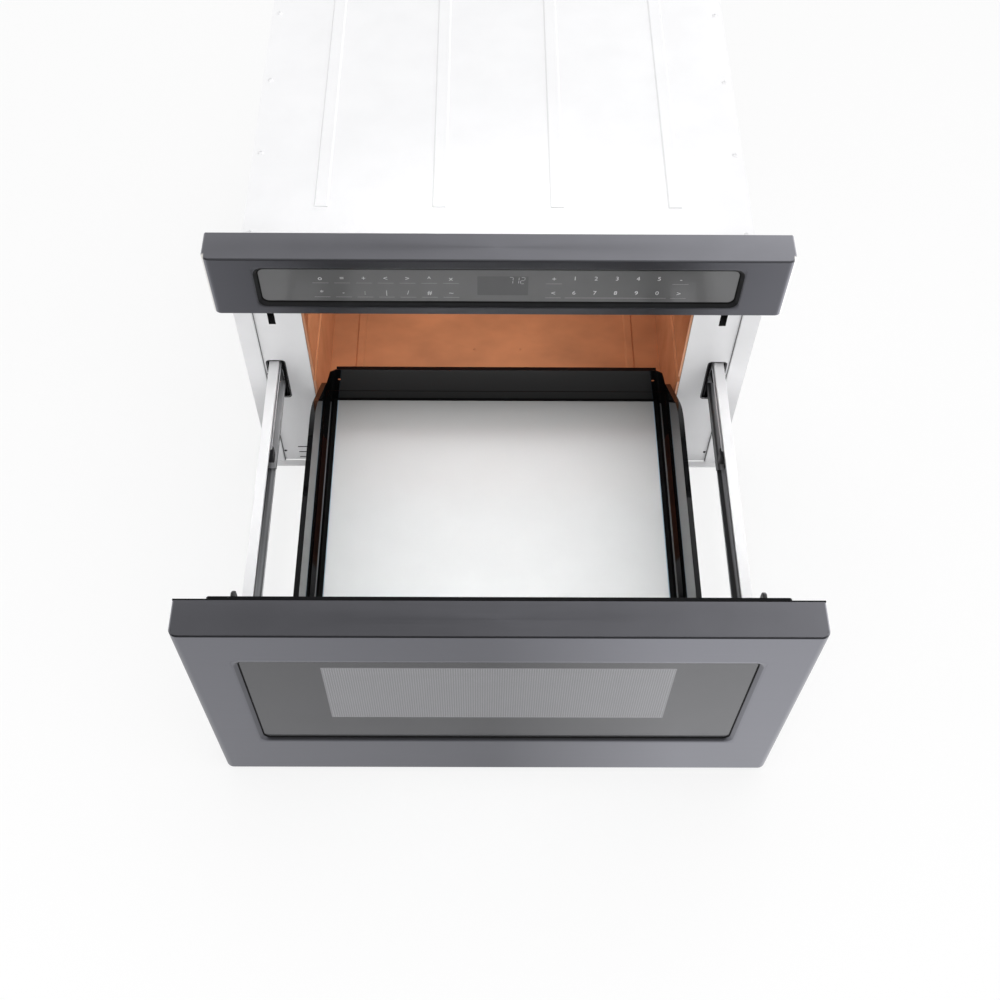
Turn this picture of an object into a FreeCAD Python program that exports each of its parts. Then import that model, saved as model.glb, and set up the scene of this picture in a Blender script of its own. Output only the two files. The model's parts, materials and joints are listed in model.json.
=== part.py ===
"""Built-in microwave drawer, shown with its drawer run out on telescopic slides.

Millimetres. X is the width, +X to the viewer's right; the front faces -Y; +Z is up.
The origin is on the underside of the base pan, midway across the width and midway
along the body that goes into the cabinet. Each sub-part is one file in parts/.
"""
import FreeCAD
import Part
import math
import os

V = FreeCAD.Vector

# ---- front, as seen closed -------------------------------------------------
FRONT_W = 615.0          # width of control bezel and drawer front
BEZEL_H = 81.0           # control bezel height
BEZEL_D = 38.5           # control bezel depth
SKIN_D = 39.0            # depth of the drawer front's metal skin
SKIN_T = 1.2             # sheet of bezel and drawer skin
FRONT_GAP = 4.0          # gap between bezel and drawer front
FRONT_LIFT = 7.0         # drawer front's lower edge above the base
FOLD_R = 9.0             # round side edges of bezel and drawer front
EDGE_C = 1.5             # bevelled upper and lower edges of bezel and drawer front
DOOR_CUT = 5.8           # cut corners of the inner door
PANEL_CUT = 2.0          # cut corners of the liner's raised panel
TRAVEL = 392.0           # how far the drawer runs out
CLOSE_GAP = 1.5          # gap left behind the drawer front when closed

# ---- body behind the cabinet face ------------------------------------------
CASE_INSET = 29.5        # the front overhangs the case by this much each side
CASE_H = 372.0
FRONT_ABOVE_CASE = 37.0  # the bezel's top above the case
CASE_D = 548.0
SHEET = 1.0              # case, base and cavity sheet
PAN_LIP = 20.0           # upturned edges of the base pan
RIBS_LEFT = (73.0, 148.0, 438.0)  # pressed ribs of the base, from the case's left side
RIB_W = 30.0
RIB_H = 3.0
RIB_END = 70.0           # ribs and beads stop this far from front and rear
BEAD_HALF = 8.0          # half width and rise of the lid's beads
BEAD_RISE = 1.6
BEAD_PITCH = 130.0
BEAD_COUNT = 4
VENT_W = 5.0             # vent slots in the side walls
VENT_PITCH = 14.0
VENT_H = 50.0
VENT_DROP = 37.0         # vents below the top of the case
VENT_COUNT = 5
VENT_BACK = 60.0         # vents end this far from the rear
FLANGE_INSET = 9.0       # the front overhangs the mounting flange each side
FLANGE_TOP_INSET = 5.0   # and at the top
FLANGE_T = 1.5
FLANGE_LIP = 7.0         # lower lip turned forward
FLANGE_RETURN = 20.0     # depth of the flange's return along the case
SEAM = 0.5               # open seam between flange and front plate
PLATE_T = 1.5            # white front plate round the oven mouth
PLATE_SETBACK = 3.3      # front plate behind the flange's face
MOUNT_HOLE_R = 2.5
MOUNT_SPACING_Z = 222.0
MOUNT_LOW_Z = 66.0

# ---- oven cavity ------------------------------------------------------------
CAVITY_SIDE = 58.0       # from the case's side to the cavity
CAVITY_H = 231.0
CAVITY_D = 428.0
CAVITY_FLOOR = 51.0      # cavity floor above the base
CAVITY_LIP = 20.0        # lips of the cavity behind the front plate
FLOOR_LIP = 14.0
MOUTH_SIDE = 2.75        # opening in the front plate past the cavity, each side
MOUTH_MARGIN = 2.0       # and above and below it
CAVITY_BEAD_D = 2.0      # pressed stiffening beads
CAVITY_BEAD_W = 8.0
WALL_BEAD_UP = 115.0     # side bead above the cavity floor
FLOOR_BEAD_IN = 39.0     # floor beads from the side walls

# ---- recessed panels of bezel and drawer ------------------------------------
RECESS_SIDE = 49.5       # metal left each side of a recess
RECESS_R = 4.0
BEZEL_RECESS_MARGIN = 10.7
DRAWER_RECESS_LOW = 73.5
DRAWER_RECESS_TOP = 50.0
BEVEL_W = 6.0
BEVEL_D = 4.0
BEVEL_RIM = 1.5          # flat rim before the bevel starts
BEVEL_SINK = 0.3         # frame behind the metal's face
BEVEL_SEAT = 4.0         # bevel and glass reach this far behind the skin
GLASS_T = 4.0
WINDOW_SIDE = 84.0       # see-through window inside the drawer's recess
WINDOW_LOW = 56.5
WINDOW_TOP = 21.0
HOUSING_MARGIN = 3.0     # control housing inside the bezel
HOUSING_SIDE = 12.5
HOUSING_WALL = 3.0
HOUSING_NOSE = 6.0

# ---- door behind the drawer skin --------------------------------------------
LINER_T = 1.5            # black liner round the door's back
PANEL_T = 3.3            # raised choke panel on the liner
PANEL_MARGIN = 1.0       # liner left round the choke panel, above and below
SCREEN_GRIP = 8.0        # how far the screen reaches under the inner door
INNER_DOOR_T = 1.2
INNER_DOOR_D = 28.0
SCREEN_T = 0.8
INNER_GLASS_T = 3.0

# ---- drawer tray ------------------------------------------------------------
TRAY_L = 416.0           # from the liner to the tray's rear wall
TRAY_T = 1.2
TRAY_LIFT = 48.0         # top of the glass floor above the cavity floor
TRAY_GLASS_T = 5.0
GLASS_EDGE = 0.6         # bevel of the glass floor's edge
TRAY_SIDE_GAP = 8.0      # side walls to cavity walls
TRAY_STEP_IN = 12.0      # from the side wall in to the edge of the glass
TRAY_STEP_UP = 17.0      # top of the drawn pan above the glass
TRAY_PAN_DROP = 19.0     # pan floor below the glass
STEP_RISE = 6.0          # upright part of the pan's side beside the glass
STEP_LEAN = 2.5
STEP_EDGE = 4.0
LEDGE_W = 4.0            # ledge under the glass edge
GASKET_W = 4.5
GASKET_RISE = 1.2
GASKET_REAR = 1.5
RIM_UP = 95.0            # top of the side rims above the glass
RIM_W = 6.0
RIM_T = 1.5
RIM_BEND_R = 70.0        # rim curves down towards the rear
RIM_SLOPE = 36.0         # degrees
BACK_WALL_UP = 57.0      # top of the rear wall above the glass
BACK_CORNER_UP = 32.0
BACK_CORNER_W = 17.0
BACK_CORNER_CUT = 5.0
BACK_LIP = 4.0
TRAY_HOLE_R = 2.0
TRAY_HOLE_IN = 17.5      # holes in the rear wall, from the side walls
TRAY_HOLE_UP = 38.0

# ---- side arms and telescopic slides ----------------------------------------
ARM_GAP = 7.0            # outer face of the arms to the case's side
ARM_T = 1.2
ARM_UP = 96.0            # top of the arms above the glass floor
ARM_L = 448.0
ARM_FLANGE = 11.7
ARM_LOWER = 7.0
ARM_FOOT = 14.0
ARM_FOOT_H = 40.0
RAIL_H = 51.0            # height of the largest slide member
RAIL_T = 1.2
RAIL_L = 440.0
RAIL_FRONT = 4.0         # largest member behind the liner
RAIL_BEND = 1.2          # small bends of all the members
SLIDE_T = 12.7           # thickness of the closed slide
OUTER_REACH = 10.6       # width of the largest member's section
MIDDLE_REACH = 11.2
INNER_REACH = 7.5        # width of the smallest member's section
BALL_R = 2.4
OUTER_BALL_IN = 6.6      # ball rows from the arm
INNER_BALL_IN = 8.2
RACE_GAP = 0.3           # running gap between ball and race
MIDDLE_L = 380.0
MIDDLE_OUT = 122.0       # middle member in front of the front plate, drawer open
OUTER_CAGE_L = 170.0
INNER_CAGE_L = 180.0
CAGE_T = 0.6
CAGE_LIP = 0.8           # cage past the balls
CAGE_GAP = 0.15
OUTER_CAGE_IN = 8.0      # outer cage behind the middle member's front end
INNER_CAGE_IN = 14.0     # inner cage behind the front plate
POCKET_GAP = 0.25
BALLS_PER_ROW = 4
BALL_SIDES = 6
INNER_RAIL_IN = 3.0      # smallest member behind the front plate
SLOT_W = 20.0            # slide slots in the front plate
SLOT_R = 3.0
SLOT_TOP_GAP = 3.0
SLOT_LOW_GAP = 10.8
SLOT_SIDE_GAP = 2.3
BRACKET_T = 1.5
BRACKET_PAST = 10.0      # brackets longer than the slides
BRACKET_FOOT = 20.0
OPENING_L = 55.0         # lightening holes in the brackets
OPENING_H = 70.0
OPENING_Z = 35.0
OPENING_PITCH = 100.0
OPENING_COUNT = 4
OPENING_CUT = 12.0

# ---- latch hooks ------------------------------------------------------------
HOOK_IN = 20.5           # hooks from the case's side
HOOK_T = 4.4
HOOK_L = 23.0
HOOK_DOWN = 37.0         # middle of the hooks below the drawer's top
HOOK_H = 22.0
HOOK_BEAK = 9.0
HOOK_CUT = 4.0
LATCH_SLOT_W = 8.0
LATCH_SLOT_H = 50.0
LATCH_BOX_W = 20.0
LATCH_BOX_D = 36.0
LATCH_WALL = 4.0
SWITCH_W = 7.0
SWITCH_H = 14.0
SWITCH_PITCH = 19.0
SWITCH_COUNT = 3

# ---- rack drive -------------------------------------------------------------
RACK_MODULE = 3.0
PINION_TEETH = 12
ADDENDUM = 0.75          # stub teeth, in modules
DEDENDUM = 1.0
ROOT_WIDEN = 1.25        # tooth at its root, against the pitch line
RACK_X = 8.0             # pitch line of the rack
RACK_BACK = 14.0         # pitch line to the rack's plain side
RACK_Z = 18.0
RACK_H = 12.0
RACK_PLAIN = 24.0        # plain stretch at the front end
RACK_TAIL = 42.0         # rack past the pinion, drawer open
RACK_FOOT_T = 1.2        # thickness, width and height of the rack's foot
RACK_FOOT_W = 10.0
RACK_FOOT_H = 2.0
RACK_PORT = 4.0          # room round the rack in the front plate
GUIDE_WALL = 3.0
GUIDE_OPEN = 4.0         # guide floor stops this far from the pitch line
GUIDE_TAIL = 10.0        # guide past the rack's end, drawer closed
PINION_BEHIND = 33.7     # pinion behind the front plate
GEAR_MODULE = 2.0
GEAR_TEETH = 24
MOTOR_GEAR_TEETH = 12
GEAR_H = 6.0
GEAR_LIFT = 2.0          # gear above the pinion
BACKLASH = 0.25
PRESSURE_DEG = 20.0
SHAFT_R = 4.0
BUSH_T = 4.0
MOTOR_SHAFT_R = 2.5
SHAFT_SEAT = 2.0         # lower ends of the shafts above the base
MOTOR_SHAFT_SEAT = 6.0
RUNNING = 0.05           # radial clearance of a turning shaft
SLIDE_CLEAR = 0.3
GEARBOX_H = 22.0
GEARBOX_D = 56.0
GEARBOX_GAP = 3.0        # gearbox to the pinion's teeth
GEARBOX_TAIL = 42.0      # gearbox past its output shaft
FOOT_PLATE_T = 4.0
MOTOR_R = 13.0
MOTOR_L = 52.0
MOTOR_CAP_R = 6.0
MOTOR_CAP_L = 5.0

# ---- microwave parts --------------------------------------------------------
GUIDE_H = 30.0           # waveguide height
GUIDE_W = 90.0
CUP_W = 170.0
CUP_D = 120.0
CUP_RIM = 10.0           # ceiling left under the cup's edge
GUIDE_REAR = 24.0        # waveguide's end to the rear of the case
COVER_T = 1.5
COVER_RIB = 0.8
COVER_RIB_W = 2.0
COVER_RIB_PITCH = 21.0
COVER_RIBS = 4
STIRRER_R = 48.0
STIRRER_UP = 8.0         # stirrer above the cup's floor, and its shaft above the lid
STIRRER_HUB_R = 6.0
STIRRER_HUB_H = 6.0
STIRRER_SHAFT_R = 2.5
BLADE_HALF = 11.0
BLADE_T = 1.0
BLADE_RISE = 6.0
STIRRER_MOTOR_R = 25.0
STIRRER_MOTOR_H = 16.0
EAR_REACH = 33.0
EAR_HALF = 5.0
EAR_T = 1.5
MAGNETRON_W = 96.0
MAGNETRON_D = 84.0
MAGNETRON_H = 88.0
MAGNETRON_END = 4.0      # magnetron to the waveguide's end
YOKE_T = 2.0
YOKE_HALF_D = 32.0
FILTER_H = 24.0
FILTER_HALF_W = 26.0
FILTER_HALF_D = 22.0
ANODE_R = 20.0
FIN_T = 0.8
FIN_PITCH = 11.0
FIN_COUNT = 4
ANTENNA_R = 8.0
ANTENNA_H = 18.0
ANTENNA_GAP = 2.0
FAN_R = 52.0
FAN_LEFT = 128.0         # fan's axis from the case's left side
FAN_UP = 205.0
FAN_FRAME = 120.0
FAN_FRAME_T = 24.0
FAN_TIP_GAP = 2.0
FAN_MOTOR_R = 20.0
FAN_MOTOR_L = 30.0
FAN_SHAFT_R = 2.0
FAN_SHAFT_L = 20.0
FAN_HUB_R = 15.0
FAN_HUB_L = 14.0
FAN_SEAT_T = 3.0
FAN_BLADES = 5
FAN_BLADE_T = 1.6
FAN_BLADE_W = 30.0
FAN_BLADE_TILT = 22.0    # degrees
INLET_PITCH = 14.0       # slots in the rear wall before the fan
INLET_H = 5.0
INLET_EDGE = 3.0         # slots end inside the fan's circle
INLET_COUNT = 7
OUTLET_W = 8.0           # slots in the rear wall beside it
OUTLET_PITCH = 22.0
OUTLET_COUNT = 6
OUTLET_SIDE = 66.0       # first of them from the case's right side
TRANSFORMER_LEFT = 63.0  # core from the case's left side
TRANSFORMER_REAR = 12.0
TRANSFORMER_W = 96.0
TRANSFORMER_D = 66.0
TRANSFORMER_H = 80.0
CORE_LEG = 16.0
COIL_BULGE = 9.0
COIL_CUT = 5.0
COIL_SPLIT = 2.0
CAPACITOR_RIGHT = 112.0  # can from the case's right side
CAPACITOR_REAR = 45.0
CAPACITOR_R = 16.0
CAPACITOR_L = 96.0
CAPACITOR_H = 50.0
TERMINAL_H = 10.0
TERMINAL_T = 1.0
BOARD_W = 108.0
BOARD_L = 140.0
BOARD_T = 1.6
BOARD_LEFT = 66.0        # board from the case's left side
BOARD_Y = -160.0
POST_H = 8.0
POST_W = 6.0
RELAY_W = 18.0
RELAY_D = 22.0
RELAY_H = 15.0
RELAY_PITCH = 24.0
RELAY_COUNT = 4
CHOKE_R = 16.0
CHOKE_H = 18.0
SINK_W = 36.0
SINK_L = 40.0
SINK_H = 25.0
LAMP_W = 36.0
LAMP_H = 24.0
LAMP_Y = 60.0
LAMP_DOWN = 34.0         # lamp's middle below the cavity's ceiling
LAMP_BOX_W = 52.0
LAMP_BOX_H = 40.0
LAMP_BOX_T = 28.0
GLAND_R = 8.0
GLAND_RIM = 4.0
GLAND_T = 3.0
GLAND_RIGHT = 63.0       # cable bush from the case's right side
GLAND_UP = 52.0
LOUVRE_COUNT = 3
LOUVRE_PITCH = 11.0
LOUVRE_LOW = 6.5
LOUVRE_L = 96.0
LOUVRE_H = 2.2
LOUVRE_IN = 20.5         # louvres from the case's left side
BAR_SIDES = 16           # faces of a round part that is drawn plainly
RING_SIDES = 32          # faces of a large ring that is drawn plainly

# ---- derived planes and widths ----------------------------------------------
CASE_W = FRONT_W - 2 * CASE_INSET
FLANGE_W = FRONT_W - 2 * FLANGE_INSET
CAVITY_W = CASE_W - 2 * CAVITY_SIDE
MOUTH_W = CAVITY_W + 2 * MOUTH_SIDE
RECESS_W = FRONT_W - 2 * RECESS_SIDE
MOUNT_X = (CASE_W + FLANGE_W) / 4
Y_CABINET = -CASE_D / 2
Y_FLANGE = Y_CABINET - FLANGE_T
Y_FACE = Y_FLANGE - CLOSE_GAP - LINER_T - SKIN_D
Y_OPEN = Y_FACE - TRAVEL
Y_PLATE = Y_FLANGE + PLATE_SETBACK
Y_BODY = Y_PLATE + PLATE_T
Y_REAR = CASE_D / 2
Y_LINER = Y_OPEN + SKIN_D + LINER_T + PANEL_T
Z_DRAWER = FRONT_LIFT
Z_TOP = CASE_H + FRONT_ABOVE_CASE
Z_BEZEL = Z_TOP - BEZEL_H
Z_DRAWER_TOP = Z_BEZEL - FRONT_GAP
FLANGE_H = Z_TOP - FLANGE_TOP_INSET
INNER_X = CASE_W / 2 - SHEET
CAVITY_TOP = CAVITY_FLOOR + CAVITY_H
CAVITY_REAR = Y_BODY + CAVITY_D
TRAY_WALL_X = CAVITY_W / 2 - TRAY_SIDE_GAP
TRAY_GLASS_W = 2 * (TRAY_WALL_X - TRAY_STEP_IN)
TRAY_GLASS_TOP = CAVITY_FLOOR + TRAY_LIFT
TRAY_STEP_Z = TRAY_GLASS_TOP + TRAY_STEP_UP
RIM_Z = TRAY_GLASS_TOP + RIM_UP
BACK_WALL_Z = TRAY_GLASS_TOP + BACK_WALL_UP
BACK_CORNER_Z = TRAY_GLASS_TOP + BACK_CORNER_UP
GLASS_UNDER = TRAY_GLASS_TOP - TRAY_GLASS_T
PAN_FLOOR = GLASS_UNDER - TRAY_PAN_DROP
TRAY_REAR = Y_LINER + TRAY_L
ARM_X = CASE_W / 2 - ARM_GAP
ARM_TOP = TRAY_GLASS_TOP + ARM_UP
RAIL_X = ARM_X - ARM_T
RAIL_TOP = ARM_TOP - ARM_T
RAIL_Z = RAIL_TOP - RAIL_H / 2
BRACKET_X = RAIL_X - SLIDE_T
HOOK_X = CASE_W / 2 - HOOK_IN
HOOK_Z = Z_DRAWER_TOP - HOOK_DOWN
PITCH_R = RACK_MODULE * PINION_TEETH / 2
PINION_X = RACK_X + PITCH_R
PINION_Y = Y_BODY + PINION_BEHIND
GEAR_CENTRES = GEAR_MODULE * (GEAR_TEETH + MOTOR_GEAR_TEETH) / 2
MOTOR_GEAR_X = PINION_X + GEAR_CENTRES
GEAR_Z = RACK_Z + RACK_H + GEAR_LIFT
RACK_END = PINION_Y + RACK_TAIL
GUIDE_END_Y = Y_REAR - GUIDE_REAR
MAGNETRON_Y = GUIDE_END_Y - MAGNETRON_END - MAGNETRON_D / 2
FAN_X = -CASE_W / 2 + FAN_LEFT
GLAND_X = CASE_W / 2 - GLAND_RIGHT


# ---- drawing helpers --------------------------------------------------------
def box(x0, x1, y0, y1, z0, z1):
    """A block between two corners."""
    return Part.makeBox(x1 - x0, y1 - y0, z1 - z0, V(x0, y0, z0))


def cylinder(radius, start, direction, length):
    """A round bar from a point, along a unit direction."""
    return Part.makeCylinder(radius, length, start, direction)


def bar(radius, start, direction, length, sides=BAR_SIDES):
    """A round part drawn with few faces, from a point along a unit direction."""
    turn = FreeCAD.Rotation(V(0, 0, 1), direction)
    rim = []
    for i in range(sides):
        angle = 2 * math.pi * i / sides
        rim.append(start + turn.multVec(V(radius * math.cos(angle), radius * math.sin(angle), 0)))
    return Part.Face(Part.makePolygon(rim + rim[:1])).extrude(direction * length)


def prism_y(points, y0, y1):
    """Extrude an (x, z) outline along Y."""
    wire = Part.makePolygon([V(x, y0, z) for x, z in points + points[:1]])
    return Part.Face(wire).extrude(V(0, y1 - y0, 0))


def prism_x(points, x0, x1):
    """Extrude a (y, z) outline along X."""
    wire = Part.makePolygon([V(x0, y, z) for y, z in points + points[:1]])
    return Part.Face(wire).extrude(V(x1 - x0, 0, 0))


def rounded_wire(x0, x1, z0, z1, radius, y):
    """A rectangle with round corners, in the plane y."""
    r = radius
    k = r * (1 - math.sqrt(0.5))
    corners = [
        (V(x1 - r, y, z0), V(x1 - k, y, z0 + k), V(x1, y, z0 + r)),
        (V(x1, y, z1 - r), V(x1 - k, y, z1 - k), V(x1 - r, y, z1)),
        (V(x0 + r, y, z1), V(x0 + k, y, z1 - k), V(x0, y, z1 - r)),
        (V(x0, y, z0 + r), V(x0 + k, y, z0 + k), V(x0 + r, y, z0)),
    ]
    edges = []
    for i, (a, b, c) in enumerate(corners):
        edges.append(Part.Arc(a, b, c).toShape())
        edges.append(Part.LineSegment(c, corners[(i + 1) % 4][0]).toShape())
    return Part.Wire(edges)


def rounded_slab(x0, x1, z0, z1, radius, y0, y1):
    """A slab with round corners in its face."""
    face = Part.Face(rounded_wire(x0, x1, z0, z1, radius, y0))
    return face.extrude(V(0, y1 - y0, 0))


def folded_block(half, z0, z1, radius, y0, y1):
    """A block whose two upright edges in the plane y0 are round."""
    k = radius * (1 - math.sqrt(0.5))
    left = Part.Arc(V(-half, y0 + radius, z0), V(k - half, y0 + k, z0), V(radius - half, y0, z0)).toShape()
    right = Part.Arc(V(half - radius, y0, z0), V(half - k, y0 + k, z0), V(half, y0 + radius, z0)).toShape()
    points = [V(half, y0 + radius, z0), V(half, y1, z0), V(-half, y1, z0), V(-half, y0 + radius, z0)]
    front = Part.LineSegment(V(radius - half, y0, z0), V(half - radius, y0, z0)).toShape()
    rest = [Part.LineSegment(a, b).toShape() for a, b in zip(points, points[1:])]
    return Part.Face(Part.Wire([left, front, right] + rest)).extrude(V(0, 0, z1 - z0))


def cut_slab(x0, x1, z0, z1, cut, y0, y1):
    """A slab with its corners cut at 45 degrees."""
    outline = [(x0 + cut, z0), (x1 - cut, z0), (x1, z0 + cut), (x1, z1 - cut), (x1 - cut, z1),
               (x0 + cut, z1), (x0, z1 - cut), (x0, z0 + cut)]
    return prism_y(outline, y0, y1)


def funnel(half_w, z0, z1, inset, y0, y1):
    """A rectangle that narrows by the inset from y0 to y1."""
    wires = []
    for y, k in ((y0, 0.0), (y1, inset)):
        corners = [V(-half_w + k, y, z0 + k), V(half_w - k, y, z0 + k), V(half_w - k, y, z1 - k),
                   V(-half_w + k, y, z1 - k)]
        wires.append(Part.makePolygon(corners + corners[:1]))
    return Part.makeLoft(wires, True, True)


def mitred(points, thickness):
    """Outline of a bent sheet: an open polyline thickened to its left, mitred at bends."""
    offset = []
    for i, (px, pz) in enumerate(points):
        normals = []
        for a, b in ((i - 1, i), (i, i + 1)):
            if a < 0 or b >= len(points):
                continue
            dx = points[b][0] - points[a][0]
            dz = points[b][1] - points[a][1]
            length = math.hypot(dx, dz)
            normals.append((-dz / length, dx / length))
        nx = sum(n[0] for n in normals) / len(normals)
        nz = sum(n[1] for n in normals) / len(normals)
        scale = thickness / (nx * nx + nz * nz)
        offset.append((px + nx * scale, pz + nz * scale))
    return points + offset[::-1]


def mirrored(shape):
    """The same shape on the other side of the centre plane."""
    return shape.mirror(V(0, 0, 0), V(1, 0, 0))


def both_sides(shape):
    """A shape and its mirror image, left one first."""
    return [shape, mirrored(shape)]


def fused(first, *rest):
    """One solid from touching or overlapping solids."""
    shape = first.fuse(list(rest)).removeSplitter()
    return shape.Solids[0]


def export(name, solids):
    """Write one sub-part, of one solid or of several alike."""
    shape = solids[0] if len(solids) == 1 else Part.makeCompound(solids)
    shape.exportStep("parts/%s.step" % name)


# ---- case -------------------------------------------------------------------
def base_pan():
    """Floor of the body, with upturned edges and pressed ribs."""
    lip = PAN_LIP
    rib = RIB_H
    y0 = Y_BODY + RIB_END
    y1 = Y_REAR - CAPACITOR_REAR - RIB_END
    lefts = [-CASE_W / 2 + x for x in RIBS_LEFT]
    floor = box(-INNER_X, INNER_X, Y_BODY, Y_REAR - SHEET, 0, SHEET)
    side = box(-INNER_X, -INNER_X + SHEET, Y_BODY, Y_REAR - SHEET, 0, lip)
    front = box(-INNER_X, INNER_X, Y_BODY, Y_BODY + SHEET, 0, lip)
    rear = box(-INNER_X, INNER_X, Y_REAR - 2 * SHEET, Y_REAR - SHEET, 0, lip)
    ribs = [box(x, x + RIB_W, y0, y1, 0, rib) for x in lefts]
    grooves = [box(x + SHEET, x + RIB_W - SHEET, y0 + SHEET, y1 - SHEET, -SHEET, rib - SHEET) for x in lefts]
    pan = fused(floor, side, mirrored(side), front, rear, *ribs)
    pan = pan.cut(grooves)
    pan = pan.cut(rack_port(Y_BODY - 1, Y_BODY + 2 * SHEET))
    return pan.Solids[0]


def rack_port(y0, y1):
    """Opening that the rack runs through."""
    room = RACK_PORT
    tip = RACK_X + ADDENDUM * RACK_MODULE
    return box(RACK_X - RACK_BACK - room, tip + room, y0, y1, RACK_Z - room, RACK_Z + RACK_H + room)


def side_panel():
    """Left wall of the case, with a row of vent slots."""
    panel = box(-CASE_W / 2, -INNER_X, Y_CABINET, Y_REAR, 0, CASE_H - SHEET)
    slots = []
    for i in range(VENT_COUNT):
        y = Y_REAR - VENT_BACK - VENT_PITCH * i
        slots.append(box(-CASE_W / 2 - 1, 1 - INNER_X, y - VENT_W, y, *vent_heights()))
    return panel.cut(slots).Solids[0]


def vent_heights():
    """Lower and upper edge of the vent slots of the case."""
    return CASE_H - VENT_DROP - VENT_H, CASE_H - VENT_DROP


def top_cover():
    """Lid of the case, with pressed beads."""
    z1 = CASE_H
    sheet = box(-CASE_W / 2, CASE_W / 2, Y_BODY, Y_REAR, z1 - SHEET, z1)
    beads = []
    for i in range(BEAD_COUNT):
        x = BEAD_PITCH * (i - (BEAD_COUNT - 1) / 2)
        beads.append(raised_bead(x, z1))
    return fused(sheet, *beads)


def raised_bead(x, z):
    """A raised bead of the top cover, tapered at its sides."""
    half = BEAD_HALF
    rise = BEAD_RISE
    profile = [(x - half, z), (x - half + rise, z + rise), (x + half - rise, z + rise), (x + half, z)]
    return prism_y(profile, Y_BODY + RIB_END, Y_REAR - RIB_END)


def back_panel():
    """Rear wall with the fan's air inlet, outlet slots and the cable bush's hole."""
    y0 = Y_REAR - SHEET
    panel = box(-INNER_X, INNER_X, y0, Y_REAR, SHEET, CASE_H - SHEET)
    cuts = []
    for i in range(INLET_COUNT):
        up = INLET_PITCH * (i - (INLET_COUNT - 1) / 2)
        half = math.sqrt(FAN_R ** 2 - up ** 2) - INLET_EDGE
        z = FAN_UP + up
        cuts.append(box(FAN_X - half, FAN_X + half, y0 - 1, Y_REAR + 1, z - INLET_H / 2, z + INLET_H / 2))
    for i in range(OUTLET_COUNT):
        x = CASE_W / 2 - OUTLET_SIDE - OUTLET_PITCH * i
        cuts.append(box(x - OUTLET_W, x, y0 - 1, Y_REAR + 1, *vent_heights()))
    cuts.append(bar(GLAND_R, V(GLAND_X, y0 - 1, GLAND_UP), V(0, 1, 0), SHEET + 2))
    return panel.cut(cuts).Solids[0]


def cord_gland():
    """Bush in the rear wall where the supply cable leaves."""
    y0 = Y_REAR - SHEET
    wall = GLAND_T
    flange = bar(GLAND_R + GLAND_RIM, V(GLAND_X, y0 - wall, GLAND_UP), V(0, 1, 0), wall)
    neck = bar(GLAND_R, V(GLAND_X, y0, GLAND_UP), V(0, 1, 0), SHEET)
    collar = bar(GLAND_R + wall, V(GLAND_X, Y_REAR, GLAND_UP), V(0, 1, 0), GLAND_RIM)
    bore = bar(GLAND_R - wall, V(GLAND_X, y0 - 2 * wall, GLAND_UP), V(0, 1, 0), 6 * wall)
    return fused(flange, neck, collar).cut(bore).Solids[0]


def mounting_flange():
    """Picture frame that covers the cabinet's edge and carries the fixing screws."""
    x1 = FLANGE_W / 2
    x0 = CASE_W / 2
    ring = box(-x1, x1, Y_FLANGE, Y_CABINET, 0, FLANGE_H)
    ring = ring.cut(box(-x0, x0, Y_FLANGE - 1, Y_CABINET + 1, FLANGE_T, CASE_H + SEAM))
    lip = box(-x1, x1, Y_FLANGE - FLANGE_LIP, Y_FLANGE, 0, FLANGE_T)
    side = box(-x0 - FLANGE_T, -x0, Y_CABINET, Y_CABINET + FLANGE_RETURN, 0, CASE_H)
    frame = fused(ring, lip, side, mirrored(side))
    holes = []
    for x in (-MOUNT_X, MOUNT_X):
        for z in (MOUNT_LOW_Z, MOUNT_LOW_Z + MOUNT_SPACING_Z):
            holes.append(cylinder(MOUNT_HOLE_R, V(x, Y_FLANGE - 1, z), V(0, 1, 0), FLANGE_T + 2))
    return frame.cut(holes).Solids[0]


def slot_edges():
    """Outer edge, inner edge, lower and upper edge of the left slide slot."""
    x_out = -(ARM_X + SLOT_SIDE_GAP)
    return x_out, x_out + SLOT_W, RAIL_TOP - RAIL_H - SLOT_LOW_GAP, ARM_TOP + SLOT_TOP_GAP


def front_plate():
    """White plate round the oven mouth, pierced for slides, hooks, rack and air."""
    y0 = Y_PLATE
    y1 = Y_BODY
    plate = box(-INNER_X, INNER_X, y0, y1, FLANGE_T, CASE_H)
    mouth = box(-MOUTH_W / 2, MOUTH_W / 2, y0 - 1, y1 + 1,
                CAVITY_FLOOR - MOUTH_MARGIN, CAVITY_TOP + MOUTH_MARGIN)
    x0, x1, z0, z1 = slot_edges()
    slide_slot = rounded_slab(x0, x1, z0, z1, SLOT_R, y0 - 1, y1 + 1)
    hook_slot = box(-HOOK_X - LATCH_SLOT_W / 2, -HOOK_X + LATCH_SLOT_W / 2, y0 - 1, y1 + 1,
                    HOOK_Z - LATCH_SLOT_H / 2, HOOK_Z + LATCH_SLOT_H / 2)
    louvres = []
    for i in range(LOUVRE_COUNT):
        z = LOUVRE_LOW + LOUVRE_PITCH * i
        x = -CASE_W / 2 + LOUVRE_IN
        louvres.append(box(x, x + LOUVRE_L, y0 - 1, y1 + 1, z - LOUVRE_H / 2, z + LOUVRE_H / 2))
    cuts = [mouth, rack_port(y0 - 1, y1 + 1)] + both_sides(slide_slot) + both_sides(hook_slot) + louvres
    return plate.cut(cuts).Solids[0]


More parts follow.
